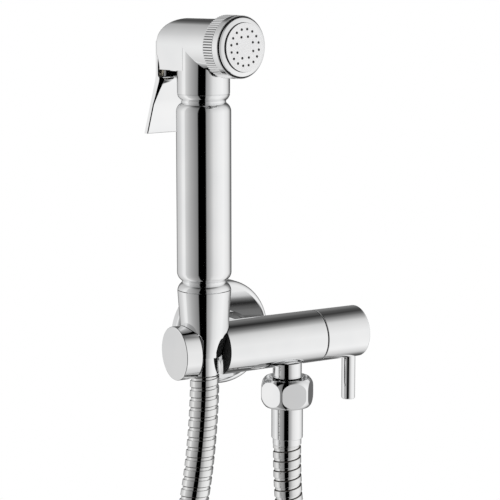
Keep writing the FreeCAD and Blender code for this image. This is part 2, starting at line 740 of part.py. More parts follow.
def make_headwork():
    slim = half("headwork_body")
    land = half("chamber_bore") - dim("thread_fit")
    seal = inside_bar("headwork_seal_place")
    section = dim("o_ring_section")
    end = bar_end() - dim("headwork_inset")
    bore = half("headwork_bore")
    journal = half("spindle_diameter") + dim("slide_fit")
    corners = [
        (inside_bar("headwork_start"), bore),
        (inside_bar("headwork_start"), slim),
        (seal - section, slim),
        (seal - section, land),
    ] + seal_groove(land, seal, section) + [
        (thread_start(), land),
        (thread_start(), half("headwork_thread")),
        (end, half("headwork_thread")),
        (end, journal),
        (inside_bar("headwork_bore_end"), journal),
        (inside_bar("headwork_bore_end"), bore),
    ]
    body = turned("headwork_housing", "XZ_Plane", corners, "H_Axis")
    window = new_sketch(body, "XY_Plane", "window_sketch")
    circle(window, dim("outlet_offset"), ZERO, half("window_diameter"))
    push(body, "Pocket", "window", window, THROUGH, symmetric=True)
    put(body, valve_place())
    put(seal_ring("headwork_seal", "XZ_Plane", seal, land - section / 2, section, "H_Axis"), valve_place())
    inside = bore - dim("thread_fit")
    seal_end = inside_bar("seat_seal_end")
    corners = lying_corners(half("seat_seal_bore"), inside, inside_bar("chamber_start"), seal_end)
    put(turned("seat_seal", "XZ_Plane", corners, "H_Axis"), valve_place())
    make_disc("fixed_ceramic_disc", seal_end, fixed_disc_end(), upright_ports=True)
    make_disc("turning_ceramic_disc", turning_disc_start(), turning_disc_end(), upright_ports=False)


def make_disc(name, start, end, upright_ports):
    """A ceramic disc with two ports, above and below its centre or beside it."""
    inside = half("headwork_bore") - dim("thread_fit")
    body = turned(name, "XZ_Plane", [(start, ZERO), (end, ZERO), (end, inside), (start, inside)], "H_Axis")
    ports = new_sketch(body, "YZ_Plane", "ports_sketch")
    for side in (-1, 1):
        offset = dim("disc_port_offset") * side
        if upright_ports:
            circle(ports, ZERO, offset, half("disc_port"))
        else:
            circle(ports, offset, ZERO, half("disc_port"))
    push(body, "Pocket", "ports", ports, THROUGH, symmetric=True)
    return put(body, valve_place())


def make_spindle():
    neck = half("spindle_neck")
    journal = half("spindle_diameter")
    section = dim("o_ring_section")
    seal = inside_bar("spindle_seal_place")
    blade_end = turning_disc_end() + dim("spindle_fork_length")
    collar_end = inside_bar("headwork_bore_end") - dim("running_gap")
    collar_start = collar_end - dim("spindle_collar")
    collar = half("headwork_bore") - dim("running_gap")
    end = bar_end() + dim("spindle_reach")
    body = turned("spindle", "XZ_Plane", [
        (turning_disc_end(), ZERO),
        (turning_disc_end(), neck),
        (collar_start, neck),
        (collar_start, collar),
        (collar_end, collar),
        (collar_end, journal),
    ] + seal_groove(journal, seal, section) + [
        (end, journal),
        (end, ZERO),
    ], "H_Axis")
    blade = new_sketch(body, "XZ_Plane", "blade_sketch")
    rectangle(blade, turning_disc_end(), -collar, blade_end, collar)
    push(body, "Pad", "blade", blade, dim("spindle_fork_thickness"), symmetric=True)
    put(body, valve_place())
    put(seal_ring("spindle_seal", "XZ_Plane", seal, journal - section / 2, section, "H_Axis"), valve_place())


# Knob, lever pin and set screw

def knob_start():
    return bar_end() + dim("running_gap")


def knob_end():
    return knob_start() + dim("knob_length")


def lever_place():
    return knob_end() - dim("lever_setback")


def set_screw_place():
    return knob_start() + dim("set_screw_place")


def make_knob():
    outer = half("bar_diameter")
    edge = dim("knob_edge_round")
    inner_edge = dim("bar_edge_round")
    bore = half("spindle_diameter") + dim("thread_fit")
    bore_end = bar_end() + dim("spindle_reach") + dim("running_gap")
    body = turned("valve_knob", "XZ_Plane", [
        (knob_start(), bore),
        (knob_start(), outer - inner_edge),
        (knob_start() + inner_edge, outer, inner_edge, 1),
        (knob_end() - edge, outer),
        (knob_end(), outer - edge, edge, 1),
        (knob_end(), ZERO),
        (bore_end, ZERO),
        (bore_end, bore),
    ], "H_Axis")
    lever = lever_place()
    socket = half("lever_diameter") + dim("thread_fit")
    thread = half("lever_thread") + dim("thread_fit")
    spin(body, "Groove", "lever_socket", "XZ_Plane", [
        (lever, -outer - CUT_MARGIN),
        (lever + socket, -outer - CUT_MARGIN),
        (lever + socket, lever_shoulder()),
        (lever + thread, lever_shoulder()),
        (lever + thread, dim("lever_depth") - outer),
        (lever, dim("lever_depth") - outer),
    ], ("upright", lever))
    screw = set_screw_place()
    hole = half("set_screw_diameter") + dim("thread_fit")
    spin(body, "Groove", "screw_hole", "XY_Plane", [
        (screw, ZERO),
        (screw + hole, ZERO),
        (screw + hole, outer + CUT_MARGIN),
        (screw, outer + CUT_MARGIN),
    ], ("upright", screw))
    put(body, valve_place())


def lever_shoulder():
    """Height of the flat in the knob that the lever's plain part sits on."""
    return dim("lever_seat") - half("bar_diameter")


def make_lever():
    plain = half("lever_diameter")
    thread = half("lever_thread")
    edge = dim("lever_tip_round")
    body = turned("lever_pin", "XZ_Plane", [
        (ZERO, dim("lever_depth") - half("bar_diameter") - dim("running_gap")),
        (thread, dim("lever_depth") - half("bar_diameter") - dim("running_gap")),
        (thread, lever_shoulder()),
        (plain, lever_shoulder()),
        (plain, edge - dim("lever_reach")),
        (plain - edge, -dim("lever_reach"), edge, 1),
        (ZERO, -dim("lever_reach")),
    ], "V_Axis")
    put(body, (lever_place(), -dim("wall_gap"), ZERO))


def hexagon(sketch, flats):
    """A hexagon round the sketch's origin, from its size across the flats."""
    across = as_size(flats) / 2
    side = across / math.cos(math.pi / 6) / 2
    outline(sketch, [
        (across, side),
        (ZERO, side * 2),
        (-across, side),
        (-across, -side),
        (ZERO, -side * 2),
        (across, -side),
    ])


def make_set_screw():
    radius = half("set_screw_diameter")
    inner = half("spindle_diameter")
    outer = inner + dim("set_screw_length")
    body = turned("set_screw", "XY_Plane", tube_corners(ZERO, radius, inner, outer), "V_Axis")
    socket = new_sketch(body, "XZ_Plane", "socket_sketch", -outer)
    hexagon(socket, dim("set_screw_socket"))
    push(body, "Pocket", "socket", socket, dim("set_screw_socket"), backwards=True)
    put(body, (set_screw_place(), -dim("wall_gap"), ZERO))


# Hose outlet, downwards from the bar: heights are negative here

def outlet_face():
    return -dim("outlet_end")


def outlet_flange_top():
    return outlet_face() - dim("washer_thickness")


def union_nut_bottom():
    return -dim("nut_top") - dim("nut_height")


def outlet_sleeve_bottom():
    return union_nut_bottom() - dim("outlet_ferrule_length") - dim("outlet_ferrule_rim_length")


def make_outlet():
    bore = half("outlet_bore")
    root = half("outlet_thread")
    neck = half("outlet_neck")
    ring = half("outlet_ring")
    thread = half("pipe_thread")
    shoulder = dim("spot_face_depth") - half("bar_diameter")
    thread_top = -dim("nut_top") - dim("nut_mouth_depth") - dim("running_gap")
    ring_top = dim("outlet_ring_height") - dim("nut_top")
    put(turned("hose_outlet", "XZ_Plane", [
        (bore, outlet_face()),
        (thread, outlet_face()),
        (thread, thread_top),
        (neck, thread_top),
        (neck, -dim("nut_top")),
        (ring, -dim("nut_top")),
        (ring, ring_top),
        (neck, ring_top),
        (neck, shoulder),
        (root, shoulder),
        (root, -half("chamber_bore") - dim("running_gap")),
        (bore, -half("chamber_bore") - dim("running_gap")),
    ], "V_Axis"), outlet_place())


def make_union_nut():
    top = -dim("nut_top")
    bottom = union_nut_bottom()
    floor = bottom + dim("nut_floor")
    thread = half("pipe_thread") + dim("thread_fit")
    mouth = thread + dim("nut_mouth_widening")
    end = half("nut_end_diameter")
    corner = half("nut_corner_diameter")
    flare = dim("nut_corner_height")
    hole = half("tail_diameter") + dim("running_gap")
    body = turned("union_nut", "XZ_Plane", [
        (hole, bottom),
        (end, bottom),
        (corner, bottom + flare, dim("nut_corner_round"), -1),
        (corner, top - flare),
        (end, top, dim("nut_corner_round"), -1),
        (mouth, top),
        (mouth, top - dim("nut_mouth_depth")),
        (thread, top - dim("nut_mouth_depth")),
        (thread, floor),
        (hole, floor),
    ], "V_Axis")
    flats = new_sketch(body, "XY_Plane", "flats_sketch")
    circle(flats, ZERO, ZERO, dim("nut_flats"))
    hexagon(flats, dim("nut_flats"))
    push(body, "Pocket", "flats", flats, THROUGH, symmetric=True)
    put(body, outlet_place(), dim("nut_turn"))


def make_outlet_hose_end():
    thread = half("pipe_thread") - dim("slide_fit")
    tail = half("tail_diameter")
    washer = tube_corners(half("washer_bore"), thread, outlet_flange_top(), outlet_face())
    put(turned("outlet_washer", "XZ_Plane", washer, "V_Axis"), outlet_place())
    flange_bottom = outlet_flange_top() - dim("tail_flange")
    put(turned("outlet_hose_tail", "XZ_Plane", [
        (half("tail_bore"), outlet_sleeve_bottom() + dim("tail_setback")),
        (tail, outlet_sleeve_bottom() + dim("tail_setback")),
        (tail, flange_bottom),
        (thread, flange_bottom),
        (thread, outlet_flange_top()),
        (half("tail_bore"), outlet_flange_top()),
    ], "V_Axis"), outlet_place())
    inside = tail + dim("thread_fit")
    wide = half("outlet_ferrule_diameter")
    rim = half("outlet_ferrule_rim")
    step = outlet_sleeve_bottom() + dim("outlet_ferrule_rim_length")
    edge = dim("sleeve_edge_round")
    put(turned("outlet_sleeve", "XZ_Plane", [
        (inside, outlet_sleeve_bottom()),
        (rim, outlet_sleeve_bottom()),
        (rim, step),
        (wide - edge, step),
        (wide, step + edge, edge, -1),
        (wide, union_nut_bottom() - edge),
        (wide - edge, union_nut_bottom(), edge, -1),
        (inside, union_nut_bottom()),
    ], "V_Axis"), outlet_place())


# Hose end in the cone nut

def hose_flange_bottom():
    return dim("cone_floor") + dim("running_gap")


def hose_flange_top():
    return hose_flange_bottom() + dim("tail_flange")


def handset_washer_bottom():
    return hose_flange_top() + dim("running_gap")


def handle_bottom():
    return handset_washer_bottom() + dim("washer_thickness")


def make_handset_hose_end():
    tail = half("tail_diameter")
    flange = half("pipe_thread") - dim("slide_fit")
    bottom = dim("handset_ferrule_bottom")
    put_on_handset(turned("handset_hose_tail", "XZ_Plane", [
        (half("tail_bore"), bottom + dim("tail_setback")),
        (tail, bottom + dim("tail_setback")),
        (tail, hose_flange_bottom()),
        (flange, hose_flange_bottom()),
        (flange, hose_flange_top()),
        (half("tail_bore"), hose_flange_top()),
    ], "V_Axis"))
    inside = tail + dim("thread_fit")
    outer = half("handset_ferrule_diameter")
    edge = dim("sleeve_edge_round")
    put_on_handset(turned("handset_sleeve", "XZ_Plane", [
        (inside, bottom),
        (outer - edge, bottom),
        (outer, bottom + edge, edge, -1),
        (outer, hose_flange_bottom()),
        (inside, hose_flange_bottom()),
    ], "V_Axis"))


def make_cone_nut():
    thread = half("pipe_thread") + dim("thread_fit")
    hole = half("handset_ferrule_diameter") + dim("slide_fit")
    put_on_handset(turned("cone_nut", "XZ_Plane", [
        (hole, dim("cone_bottom")),
        (half("cone_bottom_diameter"), dim("cone_bottom")),
        (half("cone_waist_diameter"), dim("cone_waist")),
        (half("cone_break_diameter"), dim("cone_break")),
        (half("cone_top_diameter"), dim("cone_top")),
        (thread, dim("cone_top")),
        (thread, dim("cone_floor")),
        (hole, dim("cone_floor")),
    ], "V_Axis"))
    washer = half("pipe_thread") - dim("slide_fit")
    ring = tube_corners(half("washer_bore"), washer, handset_washer_bottom(), handle_bottom())
    put_on_handset(turned("handset_washer", "XZ_Plane", ring, "V_Axis"))


# Handle

def make_handle():
    thread = half("pipe_thread")
    foot = half("handle_foot_diameter")
    outer = half("handle_diameter")
    groove = half("groove_diameter")
    neck = half("neck_diameter")
    land = dim("groove_land")
    rise = dim("shoulder_height")
    lower = dim("lower_groove")
    upper = head_level("upper_groove")
    arc = dim("shoulder_round")
    bevel = dim("seam_bevel")
    low_bore = half("handle_bore")
    wide_bore = outer - dim("handle_wall")
    spigot = half("spigot_diameter") + dim("thread_fit")
    low_end = dim("handle_foot") + dim("handle_end_wall")
    spigot_end = dim("neck_seam") - dim("spigot_length") - dim("running_gap")
    put_on_handset(turned("handle", "XZ_Plane", [
        (low_bore, handle_bottom()),
        (thread, handle_bottom()),
        (thread, dim("handle_foot")),
        (foot, dim("handle_foot")),
        (groove, lower - land, arc, -1),
        (groove, lower + land),
        (outer, lower + rise, arc, -1),
        (outer, upper - rise),
        (groove, upper - land, arc, -1),
        (groove, upper + land),
        (neck, dim("neck_seam") - bevel, arc, -1),
        (neck - bevel, dim("neck_seam")),
        (spigot, dim("neck_seam")),
        (spigot, spigot_end),
        (wide_bore, spigot_end - dim("bore_run_out")),
        (wide_bore, low_end + dim("bore_run_out")),
        (low_bore, low_end),
    ], "V_Axis"))


# Head, with the plunger valve behind the spray barrel

def spigot_seal_place():
    return dim("neck_seam") - dim("spigot_length") / 2


def make_head():
    neck = half("neck_diameter")
    spigot = half("spigot_diameter")
    section = dim("o_ring_section")
    foot = dim("neck_seam") - dim("spigot_length")
    axis = head_level("head_height")
    barrel = half("head_diameter")
    back = dim("head_back")
    groove = [(r, z) for z, r in seal_groove(spigot, spigot_seal_place(), section)]
    body = turned("spray_head", "XZ_Plane", [(ZERO, foot), (spigot, foot)] + groove + [
        (spigot, dim("neck_seam")),
        (neck - dim("seam_bevel"), dim("neck_seam")),
        (neck, dim("neck_seam") + dim("seam_bevel")),
        (neck, axis),
        (ZERO, axis),
    ], "V_Axis")
    # Arched rear part.
    arch = new_sketch(body, "XZ_Plane", "arch_sketch")
    outline(arch, [
        (barrel, head_level("head_floor")),
        (barrel, axis),
        (ZERO, axis + barrel, barrel, -1),
        (-barrel, axis, barrel, -1),
        (-barrel, head_level("head_floor")),
    ])
    push(body, "Pad", "arch", arch, back, backwards=True)
    # Round barrel with its screwed front end.
    front = -dim("barrel_reach")
    tip = front - dim("barrel_spigot_length")
    screw = half("barrel_spigot")
    spin(body, "Revolution", "barrel", "YZ_Plane", [
        (ZERO, axis),
        (ZERO, axis + barrel),
        (front, axis + barrel),
        (front, axis + screw),
        (tip, axis + screw),
        (tip, axis),
    ], ("level", axis))
    # Rounded top rear corner.
    round_back = dim("head_back_round")
    corner = new_sketch(body, "YZ_Plane", "corner_sketch")
    top = axis + barrel
    outline(corner, [
        (back - round_back, top),
        (back, top - round_back, dim("head_corner_radius"), 1),
        (back + CUT_MARGIN, top - round_back),
        (back + CUT_MARGIN, top + CUT_MARGIN),
        (back - round_back, top + CUT_MARGIN),
    ])
    push(body, "Pocket", "corner", corner, THROUGH, symmetric=True)
    # The back draws in towards its foot.
    foot_cut = new_sketch(body, "YZ_Plane", "foot_sketch")
    outline(foot_cut, [
        (back, head_level("head_back_foot")),
        (back - dim("head_back_cut"), head_level("head_floor"), dim("head_back_cut_radius"), -1),
        (back - dim("head_back_cut"), head_level("head_floor") - CUT_MARGIN),
        (back + CUT_MARGIN, head_level("head_floor") - CUT_MARGIN),
        (back + CUT_MARGIN, head_level("head_back_foot")),
    ])
    push(body, "Pocket", "foot", foot_cut, THROUGH, symmetric=True)
    round_rear_edges(body, back)
    cut_head(body, axis, front, tip)
    return put_on_handset(body)


def make_spigot_seal():
    section = dim("o_ring_section")
    centre = half("spigot_diameter") - section / 2
    put_on_handset(seal_ring("spigot_seal", "XZ_Plane", centre, spigot_seal_place(), section, "V_Axis"))


def round_rear_edges(body, back):
    """Round the edges that run round the head's back, above the trigger's hollow."""
    doc.recompute()
    tip = body.Tip
    limit = back.value - dim("head_back_round").value
    names = []
    for number, edge in enumerate(tip.Shape.Edges, start=1):
        box = edge.BoundBox
        on_back = box.YMin > limit - TOUCH
        sideways = box.ZLength > CUT_MARGIN
        if on_back and sideways:
            names.append("Edge" + str(number))
    fillet = body.newObject("PartDesign::Fillet", body.Name + "_rear_edges")
    fillet.Base = (tip, names)
    fillet.Radius = dim("head_edge_round").value
    fillet.setExpression("Radius", dim("head_edge_round").text)
    body.Tip = fillet


def cut_head(body, axis, front, tip):
    """Waterways, plunger chamber, trigger hollow and pin hole."""
    back = dim("head_back")
    level = head_level("valve_height")
    chamber = half("valve_bore")
    spin(body, "Groove", "barrel_bore", "YZ_Plane", [
        (tip - CUT_MARGIN, axis),
        (tip - CUT_MARGIN, axis + half("barrel_bore")),
        (dim("barrel_bore_depth"), axis + half("barrel_bore")),
        (dim("barrel_bore_depth"), axis),
    ], ("level", axis))
    spin(body, "Groove", "valve_bore", "YZ_Plane", [
        (-dim("valve_bore_front"), level),
        (-dim("valve_bore_front"), level + chamber),
        (dim("hollow_front") + CUT_MARGIN, level + chamber),
        (dim("hollow_front") + CUT_MARGIN, level),
    ], ("level", level))
    riser = dim("riser_place")
    spin(body, "Groove", "riser", "YZ_Plane", [
        (riser, level),
        (riser + half("riser_diameter"), level),
        (riser + half("riser_diameter"), axis),
        (riser, axis),
    ], ("upright", riser))
    foot = dim("neck_seam") - dim("spigot_length")
    bore_top = level - chamber - dim("handle_wall")
    spin(body, "Groove", "inlet_bore", "XZ_Plane", [
        (ZERO, foot - CUT_MARGIN),
        (half("spigot_bore"), foot - CUT_MARGIN),
        (half("spigot_bore"), bore_top),
        (ZERO, bore_top),
    ], "V_Axis")
    feed = -dim("feed_place")
    spin(body, "Groove", "feed", "YZ_Plane", [
        (feed, bore_top - CUT_MARGIN),
        (feed + half("feed_diameter"), bore_top - CUT_MARGIN),
        (feed + half("feed_diameter"), level),
        (feed, level),
    ], ("upright", feed))
    hollow = new_sketch(body, "YZ_Plane", "hollow_sketch")
    bottom = head_level("head_floor") - CUT_MARGIN
    rectangle(hollow, dim("hollow_front"), bottom, back + CUT_MARGIN, head_level("hollow_top"))
    push(body, "Pocket", "hollow", hollow, dim("hollow_width"), symmetric=True)
    pin = new_sketch(body, "YZ_Plane", "pin_sketch", pin_start())
    circle(pin, dim("pivot_reach"), head_level("pivot_height"), half("pivot_diameter") + dim("thread_fit"))
    push(body, "Pocket", "pin", pin, THROUGH, backwards=True)


def pin_start():
    return dim("pivot_wall") - half("head_diameter")


def make_trigger_pin():
    body = new_body("trigger_pin")
    sketch = new_sketch(body, "YZ_Plane", "sketch", pin_start())
    circle(sketch, dim("pivot_reach"), head_level("pivot_height"), half("pivot_diameter"))
    push(body, "Pad", "length", sketch, dim("head_diameter") - dim("pivot_wall") - dim("pin_inset"))
    put_on_handset(body)


def level_ring(name, start, end, inner, outer):
    """A ring about the plunger's axis, from start to end behind the handset's axis."""
    level = head_level("valve_height")
    body = turned(name, "YZ_Plane", [
        (start, level + inner),
        (end, level + inner),
        (end, level + outer),
        (start, level + outer),
    ], ("level", level))
    return put_on_handset(body)


def make_valve_parts():
    level = head_level("valve_height")
    chamber = half("valve_bore") - dim("thread_fit")
    stem = half("plunger_diameter")
    section = dim("o_ring_section")
    seat = dim("seat_front")
    level_ring("valve_seat", seat, seat + dim("seat_thickness"), half("seat_bore"), chamber)
    front = dim("gland_front")
    back = dim("gland_back")
    middle = (front + back) / 2
    journal = stem + dim("slide_fit")
    reach = (section + dim("seal_groove_play")) / 2
    put_on_handset(turned("gland_nut", "YZ_Plane", [
        (front, level + journal),
        (middle - reach, level + journal),
        (middle - reach, level + journal + section),
        (middle + reach, level + journal + section),
        (middle + reach, level + journal),
        (back, level + journal),
        (back, level + chamber),
        (front, level + chamber),
    ], ("level", level)))
    ring = new_body("gland_seal")
    sketch = new_sketch(ring, "YZ_Plane", "turn_sketch")
    axis_line(sketch, ZERO, level, V(1, 0, 0))
    circle(sketch, middle, level + journal + section / 2, section / 2)
    feature = ring.newObject("PartDesign::Revolution", "gland_seal_turn")
    feature.Profile = sketch
    feature.ReferenceAxis = (sketch, ["Axis0"])
    feature.Angle = 360
    put_on_handset(ring)
    seal_end = seat - dim("seal_gap")
    seal_start = seal_end - dim("plunger_seal_thickness")
    level_ring("plunger_seal", seal_start, seal_end, stem, half("plunger_disc"))
    disc_start = seal_start - dim("plunger_disc_thickness")
    put_on_handset(turned("plunger", "YZ_Plane", [
        (disc_start, level),
        (disc_start, level + half("plunger_disc")),
        (seal_start, level + half("plunger_disc")),
        (seal_start, level + stem),
        (dim("plunger_back"), level + stem),
        (dim("plunger_back"), level),
    ], ("level", level)))
    make_spring(disc_start)


def make_spring(disc_start):
    """The helical spring between the chamber's end and the plunger's disc."""
    wire = dim("spring_wire").value
    mean = half("spring_diameter").value - wire / 2
    low = -dim("valve_bore_front").value + wire / 2 + CONTACT_GAP
    high = disc_start.value - wire / 2 - CONTACT_GAP
    turns = dim("spring_turns").value
    helix = Part.makeHelix((high - low) / turns, high - low, mean)
    section = Part.Wire(Part.Circle(V(mean, 0, 0), V(0, 1, 0), wire / 2).toShape())
    coil = Part.Wire(helix.Edges).makePipeShell([section], True, False)
    spring = doc.addObject("Part::Feature", "return_spring")
    spring.Label = "return_spring"
    spring.Shape = coil
    start = V(0, low, head_level("valve_height").value)
    on_plunger_axis = FreeCAD.Placement(start, FreeCAD.Rotation(V(1, 0, 0), -90))
    corner = V(*[size.value for size in handset_place()])
    turn = FreeCAD.Rotation(V(0, 0, 1), dim("handset_turn").value)
    spring.Placement = FreeCAD.Placement(corner, turn).multiply(on_plunger_axis)


# Spray end, drawn about the barrel's axis: forward is negative

def put_on_barrel(thing):
    place = handset_place()
    return put(thing, (place[0], place[1], head_level("head_height")), dim("handset_turn"))


def make_bezel():
    knurl = half("knurl_diameter")
    rim = half("bezel_rim_diameter")
    screw = half("barrel_spigot") + dim("thread_fit")
    sleeve = half("ring_sleeve") + dim("slide_fit")
    edge = dim("bezel_edge_round")
    back = -dim("barrel_reach")
    step = back - dim("barrel_spigot_length")
    front = -dim("bezel_front")
    floor = front + dim("rim_groove_depth")
    groove = half("rim_groove_diameter")
    body = turned("spray_bezel", "YZ_Plane", [
        (back, screw),
        (step, screw),
        (step, sleeve),
        (floor, sleeve),
        (floor, groove),
        (front, groove),
        (front, rim - edge),
        (front + edge, rim, edge, -1),
        (-dim("knurl_end"), rim),
        (-dim("knurl_end"), knurl),
        (back, knurl),
    ], "H_Axis")
    width = dim("knurl_groove") / 2
    tooth = new_sketch(body, "XZ_Plane", "knurl_sketch", dim("knurl_end"))
    outline(tooth, [
        (ZERO, knurl - dim("knurl_depth")),
        (width, knurl + KNURL_MARGIN),
        (-width, knurl + KNURL_MARGIN),
    ])
    notch = push(body, "Pocket", "knurl", tooth, dim("knurl_end") - dim("barrel_reach") + CUT_MARGIN)
    repeat_round(body, "knurl_ring", notch, dim("knurl_count"))
    put_on_barrel(body)


def make_spray_face():
    sleeve = half("ring_sleeve")
    outer = half("ring_diameter")
    bore = half("ring_bore")
    plate = half("faceplate_diameter")
    edge = dim("ring_edge_round")
    step = -dim("barrel_reach") - dim("barrel_spigot_length")
    back = step - dim("face_seal_thickness")
    shoulder = dim("rim_groove_depth") - dim("bezel_front") - dim("ring_gap")
    plate_back = dim("faceplate_thickness") - dim("faceplate_front")
    front = -dim("ring_front")
    recess = plate + dim("slide_fit")
    put_on_barrel(turned("front_ring", "YZ_Plane", [
        (back, bore),
        (plate_back, bore),
        (plate_back, recess),
        (front, recess),
        (-dim("ring_edge"), outer - edge),
        (edge - dim("ring_edge"), outer, edge, -1),
        (shoulder, outer),
        (shoulder, sleeve),
        (back, sleeve),
    ], "H_Axis"))
    seal = lying_corners(half("barrel_bore") + dim("running_gap"), half("barrel_spigot"), back, step)
    put_on_barrel(turned("face_seal", "YZ_Plane", seal, "H_Axis"))
    body = turned("faceplate", "YZ_Plane", [
        (plate_back, ZERO),
        (plate_back, plate),
        (-dim("faceplate_front"), plate),
        (-dim("faceplate_front"), ZERO),
    ], "H_Axis")
    for ring in ("outer", "inner"):
        sketch = new_sketch(body, "XZ_Plane", ring + "_sketch")
        start = dim(ring + "_start")
        reach = half(ring + "_circle")
        circle(sketch, reach * start.sine(), reach * start.cosine(), half("spray_hole"))
        hole = push(body, "Pocket", ring, sketch, THROUGH, symmetric=True)
        repeat_round(body, ring + "_holes", hole, dim(ring + "_count"))
    put_on_barrel(body)


# Trigger

def make_trigger():
    body = new_body("trigger")
    top_reach = dim("trigger_top_reach")
    inner_top = top_reach - dim("trigger_top_thickness")
    run = dim("trigger_bend_run")
    bend = head_level("trigger_bend")
    slope = (dim("trigger_tip_reach") - top_reach) / (bend - head_level("trigger_tip"))
    bend_radius = dim("trigger_bend_radius")
    arm_end = dim("plunger_back") + dim("arm_gap")
    arm_bottom = head_level("arm_top") - dim("arm_thickness")
    side = new_sketch(body, "YZ_Plane", "side_sketch")
    outline(side, [
        (top_reach, head_level("trigger_top")),
        (top_reach, bend + run),
        (top_reach + slope * run, bend - run, bend_radius, -1),
        (dim("trigger_tip_reach"), head_level("trigger_tip")),
        (dim("trigger_tip_reach") - dim("trigger_tip_thickness"), head_level("trigger_tip")),
        (dim("trigger_knee_reach"), head_level("trigger_knee")),
        (dim("trigger_root_reach"), head_level("trigger_root")),
        (dim("arm_bend_reach"), arm_bottom, dim("arm_bend_radius"), -1),
        (arm_end, arm_bottom),
        (arm_end, head_level("arm_top")),
        (inner_top - dim("trigger_step_depth"), head_level("arm_top")),
        (inner_top, head_level("trigger_back_step")),
        (inner_top, head_level("trigger_top")),
    ])
    push(body, "Pad", "side", side, dim("trigger_width"), symmetric=True)
    round_side_edges(body, half("trigger_width").value)
    pivot_y = dim("pivot_reach")
    pivot_z = head_level("pivot_height")
    eye_radius = half("eye_diameter")
    root = top_reach - dim("trigger_top_thickness") / 2
    lug = new_sketch(body, "YZ_Plane", "lug_sketch")
    outline(lug, [
        (root, pivot_z + eye_radius),
        (pivot_y, pivot_z + eye_radius),
        (pivot_y - eye_radius, pivot_z, eye_radius, -1),
        (pivot_y, pivot_z - eye_radius, eye_radius, -1),
        (root, pivot_z - eye_radius),
    ])
    push(body, "Pad", "lug", lug, dim("eye_width"), symmetric=True)
    hole = new_sketch(body, "YZ_Plane", "eye_sketch")
    circle(hole, pivot_y, pivot_z, half("pivot_diameter") + dim("slide_fit"))
    push(body, "Pocket", "eye", hole, THROUGH, symmetric=True)
    put_on_handset(body)


def round_side_edges(body, side):
    """Round the edges that run round the trigger's two sides."""
    doc.recompute()
    tip = body.Tip
    names = []
    for number, edge in enumerate(tip.Shape.Edges, start=1):
        box = edge.BoundBox
        if box.XLength < TOUCH and abs(abs(box.XMin) - side) < TOUCH:
            names.append("Edge" + str(number))
    fillet = body.newObject("PartDesign::Fillet", body.Name + "_side_edges")
    fillet.Base = (tip, names)
    fillet.Radius = dim("trigger_edge_round").value
    fillet.setExpression("Radius", dim("trigger_edge_round").text)
    body.Tip = fillet


# Hose: its route, as straight runs joined by tangent arcs, and the ribs along it

def hose_points():
    level = -dim("wall_gap").value
    start = V(-dim("holder_offset").value, level, dim("handset_ferrule_bottom").value)
    end = V(dim("outlet_offset").value, level, outlet_sleeve_bottom().value)
    return [start] + [V(x, level, z) for x, z in HOSE_ROUTE] + [end]


def route_pieces(points):
    """Straight and round pieces of the route, each with its length and a placing function."""
    pieces = []
    here = points[0]
    radii = []
    for before, corner, after in zip(points, points[1:], points[2:]):
        arriving = (corner - before).normalize()
        leaving = (after - corner).normalize()
        turn = arriving.getAngle(leaving)
        shorter = min((corner - before).Length, (after - corner).Length)
        tangent = RUN_SHARE * shorter
        radius = tangent / math.tan(turn / 2)
        radii.append((round(radius, 1), round(math.degrees(turn), 1)))
        start = corner - arriving * tangent
        pieces.append(straight_piece(here, start))
        pieces.append(round_piece(start, arriving, leaving, radius, turn))
        here = corner + leaving * tangent
    pieces.append(straight_piece(here, points[-1]))
    print("hose radii and turns", radii)
    return pieces


def straight_piece(start, end):
    length = (end - start).Length
    direction = (end - start).normalize()
    return (length, lambda travel: (start + direction * travel, direction))


def round_piece(start, arriving, leaving, radius, turn):
    normal = arriving.cross(leaving).normalize()
    inward = normal.cross(arriving)
    centre = start + inward * radius

    def place(travel):
        rotation = FreeCAD.Rotation(normal, math.degrees(travel / radius))
        return (centre + rotation.multVec(start - centre), rotation.multVec(arriving))

    return (radius * turn, place)


def along(pieces, travel):
    for length, place in pieces:
        if travel <= length:
            return place(travel)
        travel -= length
    length, place = pieces[-1]
    return place(length)


def hose_circle(pieces, travel, radius):
    """A circle across the hose whose seam stays on the same side all the way."""
    centre, direction = along(pieces, travel)
    ring = Part.Circle(centre, direction, radius)
    ring.XAxis = V(0, 1, 0)
    return Part.Wire(ring.toShape())


def make_hose():
    pieces = route_pieces(hose_points())
    total = sum(length for length, place in pieces)
    crest = half("hose_diameter").value
    valley = half("hose_valley").value
    bore = half("hose_bore").value
    end_run = dim("hose_diameter").value
    pitch = dim("hose_pitch").value
    count = int((total - 2 * end_run) / pitch)
    first = (total - count * pitch) / 2
    rib = dim("rib_share").value * pitch
    flank = dim("rib_flank").value * pitch
    outer = [hose_circle(pieces, 0.0, valley), hose_circle(pieces, first, valley)]
    inner_at = [0.0, first]
    for number in range(count):
        start = first + number * pitch
        outer.append(hose_circle(pieces, start + flank, crest))
        outer.append(hose_circle(pieces, start + rib, crest))
        outer.append(hose_circle(pieces, start + rib + flank, valley))
        outer.append(hose_circle(pieces, start + pitch, valley))
        inner_at.append(start + pitch)
    outer.append(hose_circle(pieces, total, valley))
    inner = [hose_circle(pieces, travel, bore) for travel in inner_at + [total]]
    solid = Part.makeLoft(outer, True, True).cut(Part.makeLoft(inner, True, True))
    print("hose length", round(total, 1), "ribs", count, "volume", round(solid.Volume))
    hose = doc.addObject("Part::Feature", "hose")
    hose.Label = "hose"
    hose.Shape = solid


